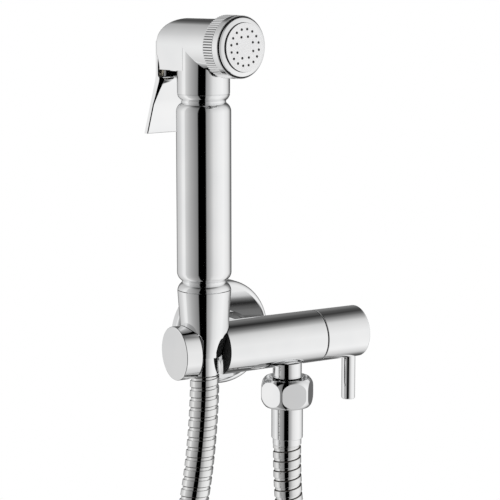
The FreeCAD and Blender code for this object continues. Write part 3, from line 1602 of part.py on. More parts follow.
def check_and_write():
    doc.recompute()
    bad = [obj.Name for obj in doc.Objects if "Invalid" in obj.State or "Error" in obj.State]
    if bad:
        raise RuntimeError("failed features: " + ", ".join(bad))
    for obj in doc.Objects:
        is_piece = obj.isDerivedFrom("PartDesign::Body") or obj.TypeId == "Part::Feature"
        if not is_piece:
            continue
        if obj.Shape.isNull() or not obj.Shape.isValid():
            raise RuntimeError("bad shape: " + obj.Label)
        obj.Shape.exportStep("parts/" + obj.Label + ".step")
        print(obj.Label, len(obj.Shape.Solids), round(obj.Shape.Volume, 1))


def main():
    make_valve_body()
    make_inlet()
    make_wall_flange()
    make_headwork()
    make_spindle()
    make_knob()
    make_lever()
    make_set_screw()
    make_outlet()
    make_union_nut()
    make_outlet_hose_end()
    make_handset_hose_end()
    make_cone_nut()
    make_handle()
    make_head()
    make_spigot_seal()
    make_trigger_pin()
    make_valve_parts()
    make_bezel()
    make_spray_face()
    make_trigger()
    make_hose()
    check_and_write()


main()
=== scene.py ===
import math

import bmesh
import bpy
from mathutils import Matrix, Vector


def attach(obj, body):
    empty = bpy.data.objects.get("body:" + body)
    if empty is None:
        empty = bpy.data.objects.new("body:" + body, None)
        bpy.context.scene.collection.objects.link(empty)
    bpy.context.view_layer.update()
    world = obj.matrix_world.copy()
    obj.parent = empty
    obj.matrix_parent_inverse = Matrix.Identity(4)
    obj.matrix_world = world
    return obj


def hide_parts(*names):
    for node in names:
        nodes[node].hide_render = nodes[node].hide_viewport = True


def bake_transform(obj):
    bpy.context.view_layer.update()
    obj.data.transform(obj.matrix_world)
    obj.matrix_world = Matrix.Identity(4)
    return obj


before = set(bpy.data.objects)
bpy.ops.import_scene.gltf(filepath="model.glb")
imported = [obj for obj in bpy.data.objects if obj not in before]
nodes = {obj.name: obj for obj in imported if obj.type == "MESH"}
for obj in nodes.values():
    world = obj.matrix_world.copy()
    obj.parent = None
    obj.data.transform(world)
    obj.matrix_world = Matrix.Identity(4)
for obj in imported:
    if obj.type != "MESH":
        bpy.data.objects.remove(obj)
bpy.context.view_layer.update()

MM = 0.001

# Camera, at the photograph's viewing angle

CAMERA_PLACE = Vector((-0.4078, -0.7151, 0.1753))
CAMERA_AIM = Vector((0.00264, -0.028, 0.04518))
CAMERA_LENS = 118.33
CAMERA_SENSOR = 36.0


def make_camera():
    data = bpy.data.cameras.new("camera")
    data.lens = CAMERA_LENS
    data.sensor_width = CAMERA_SENSOR
    camera = bpy.data.objects.new("camera", data)
    camera.location = CAMERA_PLACE
    camera.rotation_mode = "QUATERNION"
    camera.rotation_quaternion = (CAMERA_AIM - CAMERA_PLACE).to_track_quat("-Z", "Y")
    bpy.context.scene.collection.objects.link(camera)
    bpy.context.scene.camera = camera


# Materials

# Noise lies mostly between these values, which are spread over a colour or a roughness
NOISE_LOW = 0.3
NOISE_HIGH = 0.7
PATCH_DETAIL = 4.0
FILM_SCALE = 240.0
FILM_DETAIL = 6.0
METAL_PATCHES = 60.0
MATT_PATCHES = 90.0
MATT_FILM = 400.0
BUMP_DEPTH = 0.0001

def new_material(name):
    material = bpy.data.materials.new(name)
    material.use_nodes = True
    tree = material.node_tree
    shader = tree.nodes["Principled BSDF"]
    return material, tree, shader


def noise(tree, scale, detail):
    where = tree.nodes.new("ShaderNodeTexCoord")
    texture = tree.nodes.new("ShaderNodeTexNoise")
    texture.inputs["Scale"].default_value = scale
    texture.inputs["Detail"].default_value = detail
    tree.links.new(where.outputs["Object"], texture.inputs["Vector"])
    return texture.outputs["Fac"]


def spread(tree, value, low, high):
    """The noise spread from low to high."""
    node = tree.nodes.new("ShaderNodeMapRange")
    node.inputs["From Min"].default_value = NOISE_LOW
    node.inputs["From Max"].default_value = NOISE_HIGH
    node.inputs["To Min"].default_value = low
    node.inputs["To Max"].default_value = high
    tree.links.new(value, node.inputs["Value"])
    return node.outputs["Result"]


def blend_colours(tree, value, first, second):
    """The noise as a colour between the first and the second."""
    node = tree.nodes.new("ShaderNodeValToRGB")
    ends = ((NOISE_LOW, first), (NOISE_HIGH, second))
    for element, (position, colour) in zip(node.color_ramp.elements, ends):
        element.position = position
        element.color = (*colour, 1.0)
    tree.links.new(value, node.inputs["Fac"])
    return node.outputs["Color"]


def bump(tree, shader, value, strength):
    node = tree.nodes.new("ShaderNodeBump")
    node.inputs["Strength"].default_value = strength
    node.inputs["Distance"].default_value = BUMP_DEPTH
    tree.links.new(value, node.inputs["Height"])
    tree.links.new(node.outputs["Normal"], shader.inputs["Normal"])


def make_metal(name, dark, light, smooth, rough, wave_scale, wave_strength):
    material, tree, shader = new_material(name)
    shader.inputs["Metallic"].default_value = 1.0
    patches = noise(tree, METAL_PATCHES, PATCH_DETAIL)
    tree.links.new(blend_colours(tree, patches, dark, light), shader.inputs["Base Color"])
    film = noise(tree, FILM_SCALE, FILM_DETAIL)
    tree.links.new(spread(tree, film, smooth, rough), shader.inputs["Roughness"])
    bump(tree, shader, noise(tree, wave_scale, 2.0), wave_strength)
    return material


def make_knurl_shaded_metal(name, dark, light, groove, point, axis, depths):
    """Metal with painted shade in its grooves, by the distance from an axis in metres."""
    material, tree, shader = new_material(name)
    shader.inputs["Metallic"].default_value = 1.0
    where = tree.nodes.new("ShaderNodeTexCoord")
    arm = tree.nodes.new("ShaderNodeVectorMath")
    arm.operation = "SUBTRACT"
    arm.inputs[1].default_value = point
    cross = tree.nodes.new("ShaderNodeVectorMath")
    cross.operation = "CROSS_PRODUCT"
    cross.inputs[1].default_value = axis
    reach = tree.nodes.new("ShaderNodeVectorMath")
    reach.operation = "LENGTH"
    tree.links.new(where.outputs["Object"], arm.inputs[0])
    tree.links.new(arm.outputs["Vector"], cross.inputs[0])
    tree.links.new(cross.outputs["Vector"], reach.inputs[0])
    height = tree.nodes.new("ShaderNodeMapRange")
    height.inputs["From Min"].default_value = depths[0]
    height.inputs["From Max"].default_value = depths[1]
    tree.links.new(reach.outputs["Value"], height.inputs["Value"])
    # Painted shade: the groove colour nearer the axis, the metal's own colour further out
    mix = tree.nodes.new("ShaderNodeMix")
    mix.data_type = "RGBA"
    colour = [socket for socket in mix.inputs if socket.type == "RGBA"]
    colour[0].default_value = (*groove, 1.0)
    tree.links.new(height.outputs["Result"], mix.inputs["Factor"])
    patches = noise(tree, METAL_PATCHES, PATCH_DETAIL)
    tree.links.new(blend_colours(tree, patches, dark, light), colour[1])
    result = [socket for socket in mix.outputs if socket.type == "RGBA"][0]
    tree.links.new(result, shader.inputs["Base Color"])
    film = noise(tree, FILM_SCALE, FILM_DETAIL)
    tree.links.new(spread(tree, film, 0.05, 0.1), shader.inputs["Roughness"])
    return material


def make_matt(name, dark, light, smooth, rough, metallic, grain_scale, grain_strength):
    material, tree, shader = new_material(name)
    shader.inputs["Metallic"].default_value = metallic
    patches = noise(tree, MATT_PATCHES, PATCH_DETAIL)
    tree.links.new(blend_colours(tree, patches, dark, light), shader.inputs["Base Color"])
    film = noise(tree, MATT_FILM, PATCH_DETAIL)
    tree.links.new(spread(tree, film, smooth, rough), shader.inputs["Roughness"])
    bump(tree, shader, noise(tree, grain_scale, 3.0), grain_strength)
    return material


def make_materials():
    """A material for each slot. Metal: dark and light colour, least and most roughness, scale and
    strength of its waves. Matt: the same, with how metallic it is before its grain."""
    return {
        "polished_chrome": make_metal(
            "chrome", (0.86, 0.865, 0.87), (0.9, 0.9, 0.9), 0.03, 0.06, 120.0, 0.004),
        "hose_steel": make_metal(
            "hose steel", (0.78, 0.78, 0.775), (0.85, 0.85, 0.845), 0.04, 0.07, 200.0, 0.01),
        "satin_face": make_matt(
            "satin face", (0.8, 0.8, 0.805), (0.85, 0.85, 0.85), 0.28, 0.36, 0.8, 900.0, 0.01),
        # Painted shade in the hose's slit
        "hose_slit": make_matt(
            "hose slit shade", (0.035, 0.028, 0.024), (0.07, 0.055, 0.045), 0.4, 0.6, 0.3, 500.0, 0.2),
        "brass": make_metal(
            "plated brass", (0.34, 0.31, 0.25), (0.44, 0.4, 0.32), 0.18, 0.35, 300.0, 0.2),
        "black_rubber": make_matt(
            "black rubber", (0.007, 0.007, 0.007), (0.014, 0.014, 0.014), 0.5, 0.7, 0.0, 700.0, 0.3),
        "steel": make_metal(
            "steel", (0.55, 0.55, 0.54), (0.65, 0.65, 0.64), 0.2, 0.4, 400.0, 0.2),
        "ceramic": make_matt(
            "ceramic", (0.8, 0.79, 0.75), (0.86, 0.85, 0.82), 0.15, 0.3, 0.0, 500.0, 0.05),
    }


def dress_nodes(materials):
    """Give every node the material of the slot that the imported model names."""
    for node in nodes.values():
        slot = node.data.materials[0].name.split(".")[0]
        node.data.materials[0] = materials[slot]


# Hose

HOSE_PLANE = -0.0365
HOSE_DIAMETER = 0.0142
HOSE_PITCH = 0.005
# Control points of the hose's spline, x and z in millimetres
HOSE_ROUTE = [
    (-28.0, -12.2),
    (-28.3, -34.0),
    (-34.0, -77.0),
    (-50.5, -140.0),
    (-72.0, -208.0),
    (-90.0, -282.0),
    (-92.0, -352.0),
    (-64.0, -418.0),
    (-4.0, -442.0),
    (56.0, -418.0),
    (86.0, -352.0),
    (84.0, -282.0),
    (62.5, -208.0),
    (41.5, -150.0),
    (24.5, -107.0),
    (19.3, -80.0),
    (19.3, -53.5),
]
ROUTE_RESOLUTION = 24
ROUTE_ORDER = 3
# Section of the hose's wound band over one pitch: share of the pitch, depth below the crest in metres
HOSE_BAND = [
    (0.0, 0.0006),
    (0.01, 0.0003),
    (0.024, 0.00007),
    (0.045, 0.0),
    (0.075, 0.0),
    (0.6, 0.0),
    (0.63, 0.0),
    (0.65, 0.00004),
    (0.662, 0.00022),
    (0.668, 0.0011),
    (0.722, 0.0011),
    (0.73, 0.00066),
    (0.76, 0.0006),
    (0.96, 0.0006),
]
# The faces of the band's slit, painted dark as shade in the slit, counted along that section
HOSE_SLIT_SHADE = (8, 9, 10)
# Rows of vertices in one turn of the band
HOSE_STEPS = 40


def route_line():
    """Points along the route's own spline."""
    curve = bpy.data.curves.new("route", "CURVE")
    curve.dimensions = "3D"
    curve.resolution_u = ROUTE_RESOLUTION
    spline = curve.splines.new("NURBS")
    spline.points.add(len(HOSE_ROUTE) - 1)
    for point, (x, z) in zip(spline.points, HOSE_ROUTE):
        point.co = (x * MM, HOSE_PLANE, z * MM, 1.0)
    spline.order_u = ROUTE_ORDER
    spline.use_endpoint_u = True
    carrier = bpy.data.objects.new("route", curve)
    bpy.context.scene.collection.objects.link(carrier)
    mesh = bpy.data.meshes.new_from_object(carrier)
    points = [vertex.co.copy() for vertex in mesh.vertices]
    bpy.data.objects.remove(carrier)
    bpy.data.curves.remove(curve)
    bpy.data.meshes.remove(mesh)
    return points


class Line:
    """A line through points, asked by distance along it."""

    def __init__(self, points):
        self.points = points
        self.runs = [0.0]
        for first, second in zip(points, points[1:]):
            self.runs.append(self.runs[-1] + (second - first).length)
        self.length = self.runs[-1]
        self.last = 0

    def tangent(self, index):
        """Direction of the line at one of its points."""
        first = self.points[max(index - 1, 0)]
        second = self.points[min(index + 1, len(self.points) - 1)]
        return (second - first).normalized()

    def at(self, distance):
        """Place and direction at a distance along the line."""
        distance = min(max(distance, 0.0), self.length)
        while self.last > 0 and self.runs[self.last] > distance:
            self.last -= 1
        while self.last < len(self.runs) - 2 and self.runs[self.last + 1] < distance:
            self.last += 1
        first = self.last
        share = (distance - self.runs[first]) / (self.runs[first + 1] - self.runs[first])
        place = self.points[first].lerp(self.points[first + 1], share)
        along = self.tangent(first).lerp(self.tangent(first + 1), share).normalized()
        return place, along


def make_hose(material, slit_shade_material):
    """A band wound round the route, each turn hooked into the next."""
    points = route_line()
    line = Line(points)
    across = Vector((0.0, 1.0, 0.0))
    crest = HOSE_DIAMETER / 2
    turns = int(line.length / HOSE_PITCH) + 1
    rows = (turns + 1) * HOSE_STEPS
    vertices = []
    for row in range(rows):
        angle = -2 * math.pi * row / HOSE_STEPS
        start = (row / HOSE_STEPS - 1) * HOSE_PITCH
        for share, depth in HOSE_BAND:
            place, along = line.at(start + share * HOSE_PITCH)
            side = along.cross(across)
            out = side * math.cos(angle) + across * math.sin(angle)
            vertices.append(place + out * (crest - depth))
    count = len(HOSE_BAND)
    faces = []
    steps = []
    for row in range(rows - 1):
        for step in range(count):
            a = row * count + step
            b = a + count
            if step < count - 1:
                faces.append((b, b + 1, a + 1, a))
                steps.append(step)
            elif row + 1 + HOSE_STEPS < rows:
                c = (row + HOSE_STEPS) * count
                faces.append((b, c + count, c, a))
                steps.append(step)
    mesh = bpy.data.meshes.new("hose_spiral")
    mesh.from_pydata(vertices, [], faces)
    piece = bpy.data.objects.new("hose_spiral", mesh)
    bpy.context.scene.collection.objects.link(piece)
    mesh.materials.append(material)
    mesh.materials.append(slit_shade_material)
    for polygon, step in zip(mesh.polygons, steps):
        polygon.use_smooth = True
        polygon.material_index = 1 if step in HOSE_SLIT_SHADE else 0
    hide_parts("hose")
    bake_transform(piece)


# Handset: pieces in its own frame, with the spray towards -Y and the trigger towards +Y. From here on,
# profiles and their sizes are millimetres

HANDSET_PLACE = Vector((-0.028, HOSE_PLANE, 0.0))
HANDSET_TURN = 10.0
BARREL_LEVEL = 0.1462
# Sides of a turned piece, by its size
FINE_SIDES = 240
RING_SIDES = 192
SHADE_SHEET_SIDES = 96
SHADE_PLUG_SIDES = 16


def handset_frame():
    return Matrix.Translation(HANDSET_PLACE) @ Matrix.Rotation(math.radians(HANDSET_TURN), 4, "Z")


def add_piece(name, vertices, faces, material, place, crease=30.0):
    """A mesh piece whose points are millimetres in a frame, with edges sharper than crease kept."""
    mesh = bpy.data.meshes.new(name)
    mesh.from_pydata([place @ (Vector(point) * MM) for point in vertices], [], faces)
    form = bmesh.new()
    form.from_mesh(mesh)
    bmesh.ops.recalc_face_normals(form, faces=form.faces)
    form.to_mesh(mesh)
    form.free()
    for polygon in mesh.polygons:
        polygon.use_smooth = True
    mesh.set_sharp_from_angle(angle=math.radians(crease))
    mesh.materials.append(material)
    piece = bpy.data.objects.new(name, mesh)
    bpy.context.scene.collection.objects.link(piece)
    return piece


def turn_profile(profile, axis_point, axis, sides):
    """Vertices and faces of a closed (radius, height) profile turned round an axis."""
    along = Vector(axis)
    across = Vector((0.0, 0.0, 1.0)) if along.x else Vector((1.0, 0.0, 0.0))
    third = along.cross(across)
    vertices = []
    for side in range(sides):
        angle = 2 * math.pi * side / sides
        out = across * math.cos(angle) + third * math.sin(angle)
        vertices += [Vector(axis_point) + along * height + out * radius for radius, height in profile]
    count = len(profile)
    faces = []
    for side in range(sides):
        after = (side + 1) % sides
        for step in range(count):
            following = (step + 1) % count
            faces.append((side * count + step, side * count + following,
                          after * count + following, after * count + step))
    return vertices, faces


# Black ring in the gap between the bar and its turning end, a painted shadow: radius and place along the
# bar
SEAM_SHADOW_RING = [(12.2, 35.31), (12.2, 35.59), (12.86, 35.59), (12.86, 35.31)]


# Painted shadow: a black ring that darkens the seam between the bar and its end
def make_seam_shadow_ring(material):
    bar = (0.0, HOSE_PLANE / MM, 0.0)
    vertices, faces = turn_profile(SEAM_SHADOW_RING, bar, (1.0, 0.0, 0.0), RING_SIDES)
    piece = add_piece("seam_shadow_ring", vertices, faces, material, Matrix.Identity(4))
    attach(piece, "valve")


def join(parts):
    """Vertices and faces of several forms as those of one piece."""
    vertices = []
    faces = []
    for more, their_faces in parts:
        first = len(vertices)
        vertices += more
        faces += [tuple(first + corner for corner in face) for face in their_faces]
    return vertices, faces


def loft(sections):
    """Vertices and faces of a closed form through sections that have the same number of points."""
    count = len(sections[0])
    vertices = [point for section in sections for point in section]
    faces = [tuple(range(count)), tuple(range(len(vertices) - count, len(vertices)))]
    for row in range(len(sections) - 1):
        for step in range(count):
            after = (step + 1) % count
            faces.append((row * count + step, row * count + after,
                          (row + 1) * count + after, (row + 1) * count + step))
    return vertices, faces


# Cone nut: radius and height
CONE_NUT = [
    (6.87, -2.5),
    (7.05, -2.7),
    (8.1, -2.7),
    (8.27, -2.62),
    (8.33, -2.45),
    (8.62, -0.55),
    (8.66, -0.35),
    (8.75, -0.1),
    (11.36, 7.05),
    (11.44, 7.35),
    (12.98, 29.5),
    (12.96, 29.68),
    (12.85, 29.8),
    (10.6, 29.8),
    (10.52, 29.7),
    (10.52, 11.5),
    (6.87, 11.5),
]


def make_cone_nut(material):
    vertices, faces = turn_profile(CONE_NUT, (0.0, 0.0, 0.0), (0.0, 0.0, 1.0), FINE_SIDES)
    piece = add_piece("cone_nut_turned", vertices, faces, material, handset_frame())
    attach(piece, "handset")
    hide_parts("cone_nut")


# Painted shade in the bezel's knurl: its colour, and the radii in metres over which that fades into the
# metal
KNURL_GROOVE_SHADE = (0.12, 0.12, 0.12)
KNURL_DEPTHS = (0.01412, 0.01447)


def paint_bezel_knurl_shade():
    barrel = HANDSET_PLACE + Vector((0.0, 0.0, BARREL_LEVEL))
    axis = Matrix.Rotation(math.radians(HANDSET_TURN), 3, "Z") @ Vector((0.0, 1.0, 0.0))
    # Chrome with painted shade in the knurl's grooves
    nodes["spray_bezel"].data.materials[0] = make_knurl_shaded_metal(
        "knurl shaded chrome", (0.82, 0.825, 0.83), (0.88, 0.88, 0.88), KNURL_GROOVE_SHADE,
        barrel, axis, KNURL_DEPTHS)


# Thin black liner of the handset's seat in the bar, painted shade inside the seat: height and radius
LINER = [(0.2, 8.99), (7.3, 11.57), (12.6, 11.93)]
LINER_THICKNESS = 0.1
LINER_STEPS = 96
# Distance from the bar's axis that the liner stays within, just below the bar's skin
LINER_REACH = 12.85
LINER_PASSES = 4
# The slot's sides, left and right of the handset's axis, and the liner on them: its lowest and highest
# places, and its gap to the bar
SLOT_SIDES = (8.35, 7.55)
FLANK_HEIGHTS = (-11.8, 9.1)
FLANK_STEPS = 40
FLANK_GAP = 0.01


def liner_radius(height):
    """The seat's radius at a height above the bar's axis."""
    if height <= LINER[0][0]:
        return LINER[0][1]
    for (low, low_radius), (high, high_radius) in zip(LINER, LINER[1:]):
        if height <= high:
            return low_radius + (high_radius - low_radius) * (height - low) / (high - low)
    return LINER[-1][1]


def liner_point(height, extra, angle):
    """A point of the liner, no higher than the bar's skin there."""
    for _ in range(LINER_PASSES):
        depth = liner_radius(height) * math.cos(angle)
        height = min(height, math.sqrt(LINER_REACH ** 2 - depth ** 2))
    radius = liner_radius(height) + extra
    return (radius * math.sin(angle), -radius * math.cos(angle), height)


def liner_flank(inner, outer):
    """The liner on one side of the slot, from the bar's front back to the seat."""
    sections = []
    low, high = FLANK_HEIGHTS
    for step in range(FLANK_STEPS + 1):
        height = low + (high - low) * step / FLANK_STEPS
        front = -math.sqrt(LINER_REACH ** 2 - height ** 2)
        back = -math.sqrt(liner_radius(height) ** 2 - inner ** 2)
        sections.append([(inner, front, height), (outer, front, height),
                         (outer, back, height), (inner, back, height)])
    return loft(sections)


def make_seat_shade_liner(material):
    """The seat's liner of painted shade, from the slot's right side round the back to its left, and both
    flanks.
    """
    vertices = []
    first = math.asin((SLOT_SIDES[1] + LINER_THICKNESS) / LINER[0][1])
    last = 2 * math.pi - math.asin((SLOT_SIDES[0] + LINER_THICKNESS) / LINER[0][1])
    for height, _ in LINER:
        for extra in (0.0, LINER_THICKNESS):
            for step in range(LINER_STEPS + 1):
                angle = first + (last - first) * step / LINER_STEPS
                vertices.append(liner_point(height, extra, angle))
    count = LINER_STEPS + 1
    # Up the inner face and down the outer one
    rows = [0, 2, 4, 5, 3, 1]
    faces = [tuple(row * count for row in rows), tuple(row * count + LINER_STEPS for row in rows)]
    for low, high in zip(rows, rows[1:] + rows[:1]):
        for step in range(LINER_STEPS):
            faces.append((low * count + step, low * count + step + 1,
                          high * count + step + 1, high * count + step))
    vertices, faces = join([
        (vertices, faces),
        liner_flank(SLOT_SIDES[1] - LINER_THICKNESS, SLOT_SIDES[1] - FLANK_GAP),
        liner_flank(FLANK_GAP - SLOT_SIDES[0], LINER_THICKNESS - SLOT_SIDES[0]),
    ])
    piece = add_piece("seat_shade_liner", vertices, faces, material, Matrix.Translation(HANDSET_PLACE))
    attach(piece, "valve")


# Spray face: radius, number and first angle of each ring of holes. Then the black pieces of painted
# shade: radius and reach of the sheet behind the plate, the rim round the plate's edge, a hole's plug
# and the bezel's groove ring
HOLE_RINGS = [(8.35, 16, -14.2), (5.15, 8, -25.6)]
HOLE_SHADE_SHEET = [(0.4, -27.0), (8.8, -27.0), (8.8, -27.7), (0.4, -27.7)]
PLATE_EDGE_SHADE = [(11.1, -29.14), (11.33, -29.14), (11.33, -29.85), (11.28, -29.95), (11.1, -29.95)]
HOLE_SHADE_PLUG = [
    (0.1, -27.4),
    (0.53, -27.4),
    (0.53, -30.22),
    (0.6, -30.24),
    (0.57, -30.32),
    (0.45, -30.36),
    (0.1, -30.36),
]
GROOVE_SHADE_RING = [
    (13.53, -26.05),
    (14.07, -26.05),
    (14.07, -26.85),
    (13.95, -27.0),
    (13.65, -27.0),
    (13.53, -26.85),
]

# Front ring: radius and reach
FRONT_RING = [
    (9.0, -24.0),
    (9.0, -27.8),
    (11.26, -27.8),
    (11.26, -29.0),
    (11.4, -29.06),
    (13.2, -28.62),
    (13.38, -28.52),
    (13.5, -28.3),
    (13.5, -26.3),
    (11.8, -26.3),
    (11.8, -24.0),
]


def make_front_ring(material):
    barrel = (0.0, 0.0, BARREL_LEVEL / MM)
    vertices, faces = turn_profile(FRONT_RING, barrel, (0.0, 1.0, 0.0), FINE_SIDES)
    piece = add_piece("front_ring_turned", vertices, faces, material, handset_frame())
    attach(piece, "handset")
    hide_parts("front_ring")


# Painted shade: black pieces that darken the spray face's holes, the gap round its plate and the bezel's
# groove
def make_spray_face_shade(material):
    level = BARREL_LEVEL / MM
    along = (0.0, 1.0, 0.0)
    parts = [
        turn_profile(HOLE_SHADE_SHEET, (0.0, 0.0, level), along, SHADE_SHEET_SIDES),
        turn_profile(PLATE_EDGE_SHADE, (0.0, 0.0, level), along, RING_SIDES),
        turn_profile(GROOVE_SHADE_RING, (0.0, 0.0, level), along, RING_SIDES),
    ]
    for radius, count, start in HOLE_RINGS:
        for step in range(count):
            angle = math.radians(start + 360.0 * step / count)
            place = (radius * math.sin(angle), 0.0, level + radius * math.cos(angle))
            parts.append(turn_profile(HOLE_SHADE_PLUG, place, along, SHADE_PLUG_SIDES))
    vertices, faces = join(parts)
    piece = add_piece("spray_face_shade", vertices, faces, material, handset_frame())
    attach(piece, "handset")


# Trigger: height, outer reach, inner reach and the cut of the inner side edges, from the tip up
LEVER = [
    (103.2, 33.3, 31.0, 0.15),
    (103.35, 33.42, 30.78, 0.3),
    (104.0, 33.22, 30.43, 0.4),
    (110.0, 31.16, 28.4, 0.42),
    (117.4, 28.61, 25.9, 0.45),
    (120.0, 27.72, 24.5, 0.6),
    (123.0, 26.68, 22.87, 0.9),
    (126.0, 25.65, 21.24, 1.28),
    (127.8, 25.03, 20.26, 1.52),
    (129.2, 24.61, 19.55, 1.72),
    (129.9, 24.44, 19.35, 1.75),
    (130.5, 24.31, 19.6, 1.5),
    (130.9, 24.24, 20.1, 1.2),
    (131.1, 24.2, 20.7, 0.9),
    (131.2, 24.18, 21.5, 0.5),
    (132.5, 24.05, 21.75, 0.4),
    (133.8, 24.0, 21.75, 0.4),
    (141.0, 24.0, 21.7, 0.4),
    (147.7, 24.0, 21.7, 0.4),
    (148.0, 23.8, 21.9, 0.2),
]
# Half widths of the lever, its arm and its lug
LEVER_SIDE = 10.0
ARM_SIDE = 2.0
LUG_SIDE = 6.5
# Cut of the lever's outer side edges
LEVER_ROUND = 0.3
# Reach and height of the arm's outline, and of the lug's centre at the trigger's pin
ARM = [(14.2, 130.8), (14.2, 133.4), (14.4, 133.6), (22.0, 133.6), (22.0, 130.6), (14.4, 130.6)]
LUG_CENTRE = (17.5, 144.6)
LUG_RADIUS = 3.1
LUG_STEPS = 24
# Where the lug ends inside the lever
LUG_ROOT = 22.0
CREASE = 20.0


def lever_section(height, outer, inner, cut):
    """The lever's outline at a height, with its four side edges cut."""
    side = LEVER_SIDE
    turn = LEVER_ROUND
    return [
        Vector((-side, outer - turn, height)),
        Vector((-side, inner + cut, height)),
        Vector((cut - side, inner, height)),
        Vector((side - cut, inner, height)),
        Vector((side, inner + cut, height)),
        Vector((side, outer - turn, height)),
        Vector((side - turn, outer, height)),
        Vector((turn - side, outer, height)),
    ]


def plate(profile, side):
    """A (reach, height) profile as thick as two sides."""
    return loft([[Vector((x, y, z)) for y, z in profile] for x in (-side, side)])


def make_trigger(material):
    reach, level = LUG_CENTRE
    lug = [(LUG_ROOT, level + LUG_RADIUS)]
    for step in range(LUG_STEPS + 1):
        angle = math.radians(90 + 180 * step / LUG_STEPS)
        lug.append((reach + LUG_RADIUS * math.cos(angle), level + LUG_RADIUS * math.sin(angle)))
    lug.append((LUG_ROOT, level - LUG_RADIUS))
    vertices, faces = join([
        loft([lever_section(*row) for row in LEVER]),
        plate(ARM, ARM_SIDE),
        plate(lug, LUG_SIDE),
    ])
    piece = add_piece("trigger_lever", vertices, faces, material, handset_frame(), CREASE)
    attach(piece, "trigger")
    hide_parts("trigger")


# Studio

FLOOR_LEVEL = -0.46
FLOOR_SIZE = 30.0
FLOOR_COLOUR = (0.8, 0.8, 0.8, 1.0)
FLOOR_ROUGHNESS = 0.9
ROOM_COLOUR = (0.62, 0.62, 0.63, 1.0)
WHITE = (1.0, 1.0, 1.0, 1.0)


def make_sheet(name, corners):
    mesh = bpy.data.meshes.new(name)
    mesh.from_pydata(corners, [], [(0, 1, 2, 3)])
    sheet = bpy.data.objects.new(name, mesh)
    bpy.context.scene.collection.objects.link(sheet)
    return sheet


def white_to_eye(tree, output, shader):
    """White for camera, glossy and transmitted rays, and the shader for all others."""
    path = tree.nodes.new("ShaderNodeLightPath")
    first = tree.nodes.new("ShaderNodeMath")
    first.operation = "MAXIMUM"
    second = tree.nodes.new("ShaderNodeMath")
    second.operation = "MAXIMUM"
    glow = tree.nodes.new("ShaderNodeEmission")
    glow.inputs["Color"].default_value = WHITE
    glow.inputs["Strength"].default_value = 1.0
    mix = tree.nodes.new("ShaderNodeMixShader")
    tree.links.new(path.outputs["Is Camera Ray"], first.inputs[0])
    tree.links.new(path.outputs["Is Glossy Ray"], first.inputs[1])
    tree.links.new(first.outputs[0], second.inputs[0])
    tree.links.new(path.outputs["Is Transmission Ray"], second.inputs[1])
    tree.links.new(second.outputs[0], mix.inputs["Fac"])
    tree.links.new(shader, mix.inputs[1])
    tree.links.new(glow.outputs[0], mix.inputs[2])
    tree.links.new(mix.outputs[0], output)


def make_floor():
    half = FLOOR_SIZE / 2
    floor = make_sheet("floor", [
        (-half, -half, FLOOR_LEVEL),
        (half, -half, FLOOR_LEVEL),
        (half, half, FLOOR_LEVEL),
        (-half, half, FLOOR_LEVEL),
    ])
    material = bpy.data.materials.new("floor")
    material.use_nodes = True
    tree = material.node_tree
    shader = tree.nodes["Principled BSDF"]
    shader.inputs["Base Color"].default_value = FLOOR_COLOUR
    shader.inputs["Roughness"].default_value = FLOOR_ROUGHNESS
    white_to_eye(tree, tree.nodes["Material Output"].inputs["Surface"], shader.outputs[0])
    floor.data.materials.append(material)


def make_world():
    world = bpy.data.worlds.new("studio")
    world.use_nodes = True
    bpy.context.scene.world = world
    tree = world.node_tree
    room = tree.nodes["Background"]
    room.inputs["Color"].default_value = ROOM_COLOUR
    path = tree.nodes.new("ShaderNodeLightPath")
    white = tree.nodes.new("ShaderNodeBackground")
    white.inputs["Color"].default_value = WHITE
    mix = tree.nodes.new("ShaderNodeMixShader")
    tree.links.new(path.outputs["Is Camera Ray"], mix.inputs["Fac"])
    tree.links.new(room.outputs[0], mix.inputs[1])
    tree.links.new(white.outputs[0], mix.inputs[2])
    tree.links.new(mix.outputs[0], tree.nodes["World Output"].inputs["Surface"])


STUDIO_CENTRE = Vector((0.0, -0.03, 0.05))
# Azimuth, elevation, distance, width, height and brightness
SOFTBOXES = {
    "right softbox": (48.0, 20.0, 2.0, 2.0, 1.6, 1.6),
    "left softbox": (-120.0, 20.0, 2.2, 1.6, 1.6, 0.9),
    "top softbox": (-30.0, 75.0, 1.8, 1.6, 1.6, 0.8),
}


def away(azimuth, elevation):
    """Unit vector from the object; azimuth 0 is towards -Y and 90 towards +X."""
    turn = math.radians(azimuth)
    rise = math.radians(elevation)
    run = math.cos(rise)
    return Vector((math.sin(turn) * run, -math.cos(turn) * run, math.sin(rise)))


def make_softbox(name, azimuth, elevation, distance, width, height, brightness):
    data = bpy.data.lights.new(name, "AREA")
    data.shape = "RECTANGLE"
    data.size = width
    data.size_y = height
    data.energy = brightness * math.pi * width * height
    lamp = bpy.data.objects.new(name, data)
    direction = away(azimuth, elevation)
    lamp.location = STUDIO_CENTRE + direction * distance
    lamp.rotation_mode = "QUATERNION"
    lamp.rotation_quaternion = direction.to_track_quat("Z", "Y")
    lamp.visible_camera = False
    lamp.visible_glossy = False
    bpy.context.scene.collection.objects.link(lamp)


# The light tent that mirrors see. Brightness of its wall over the azimuth from the camera's side, to the
# right, in degrees: a slit for the lens, a softbox on the right, a card on the left and a dim back.
TENT_WALL = [
    (-180, 0.12),
    (-166, 0.08),
    (-156, 0.2),
    (-145, 0.58),
    (-110, 0.78),
    (-98, 0.93),
    (-85, 0.93),
    (-81, 0.7),
    (-55, 0.45),
    (-25, 0.24),
    (-22, 0.0),
    (9, 0.0),
    (12, 0.33),
    (26, 0.5),
    (42, 0.8),
    (65, 0.94),
    (90, 1.0),
    (115, 0.88),
    (130, 0.7),
    (141, 0.38),
    (157, 0.08),
    (166, 0.12),
    (174, 0.22),
]
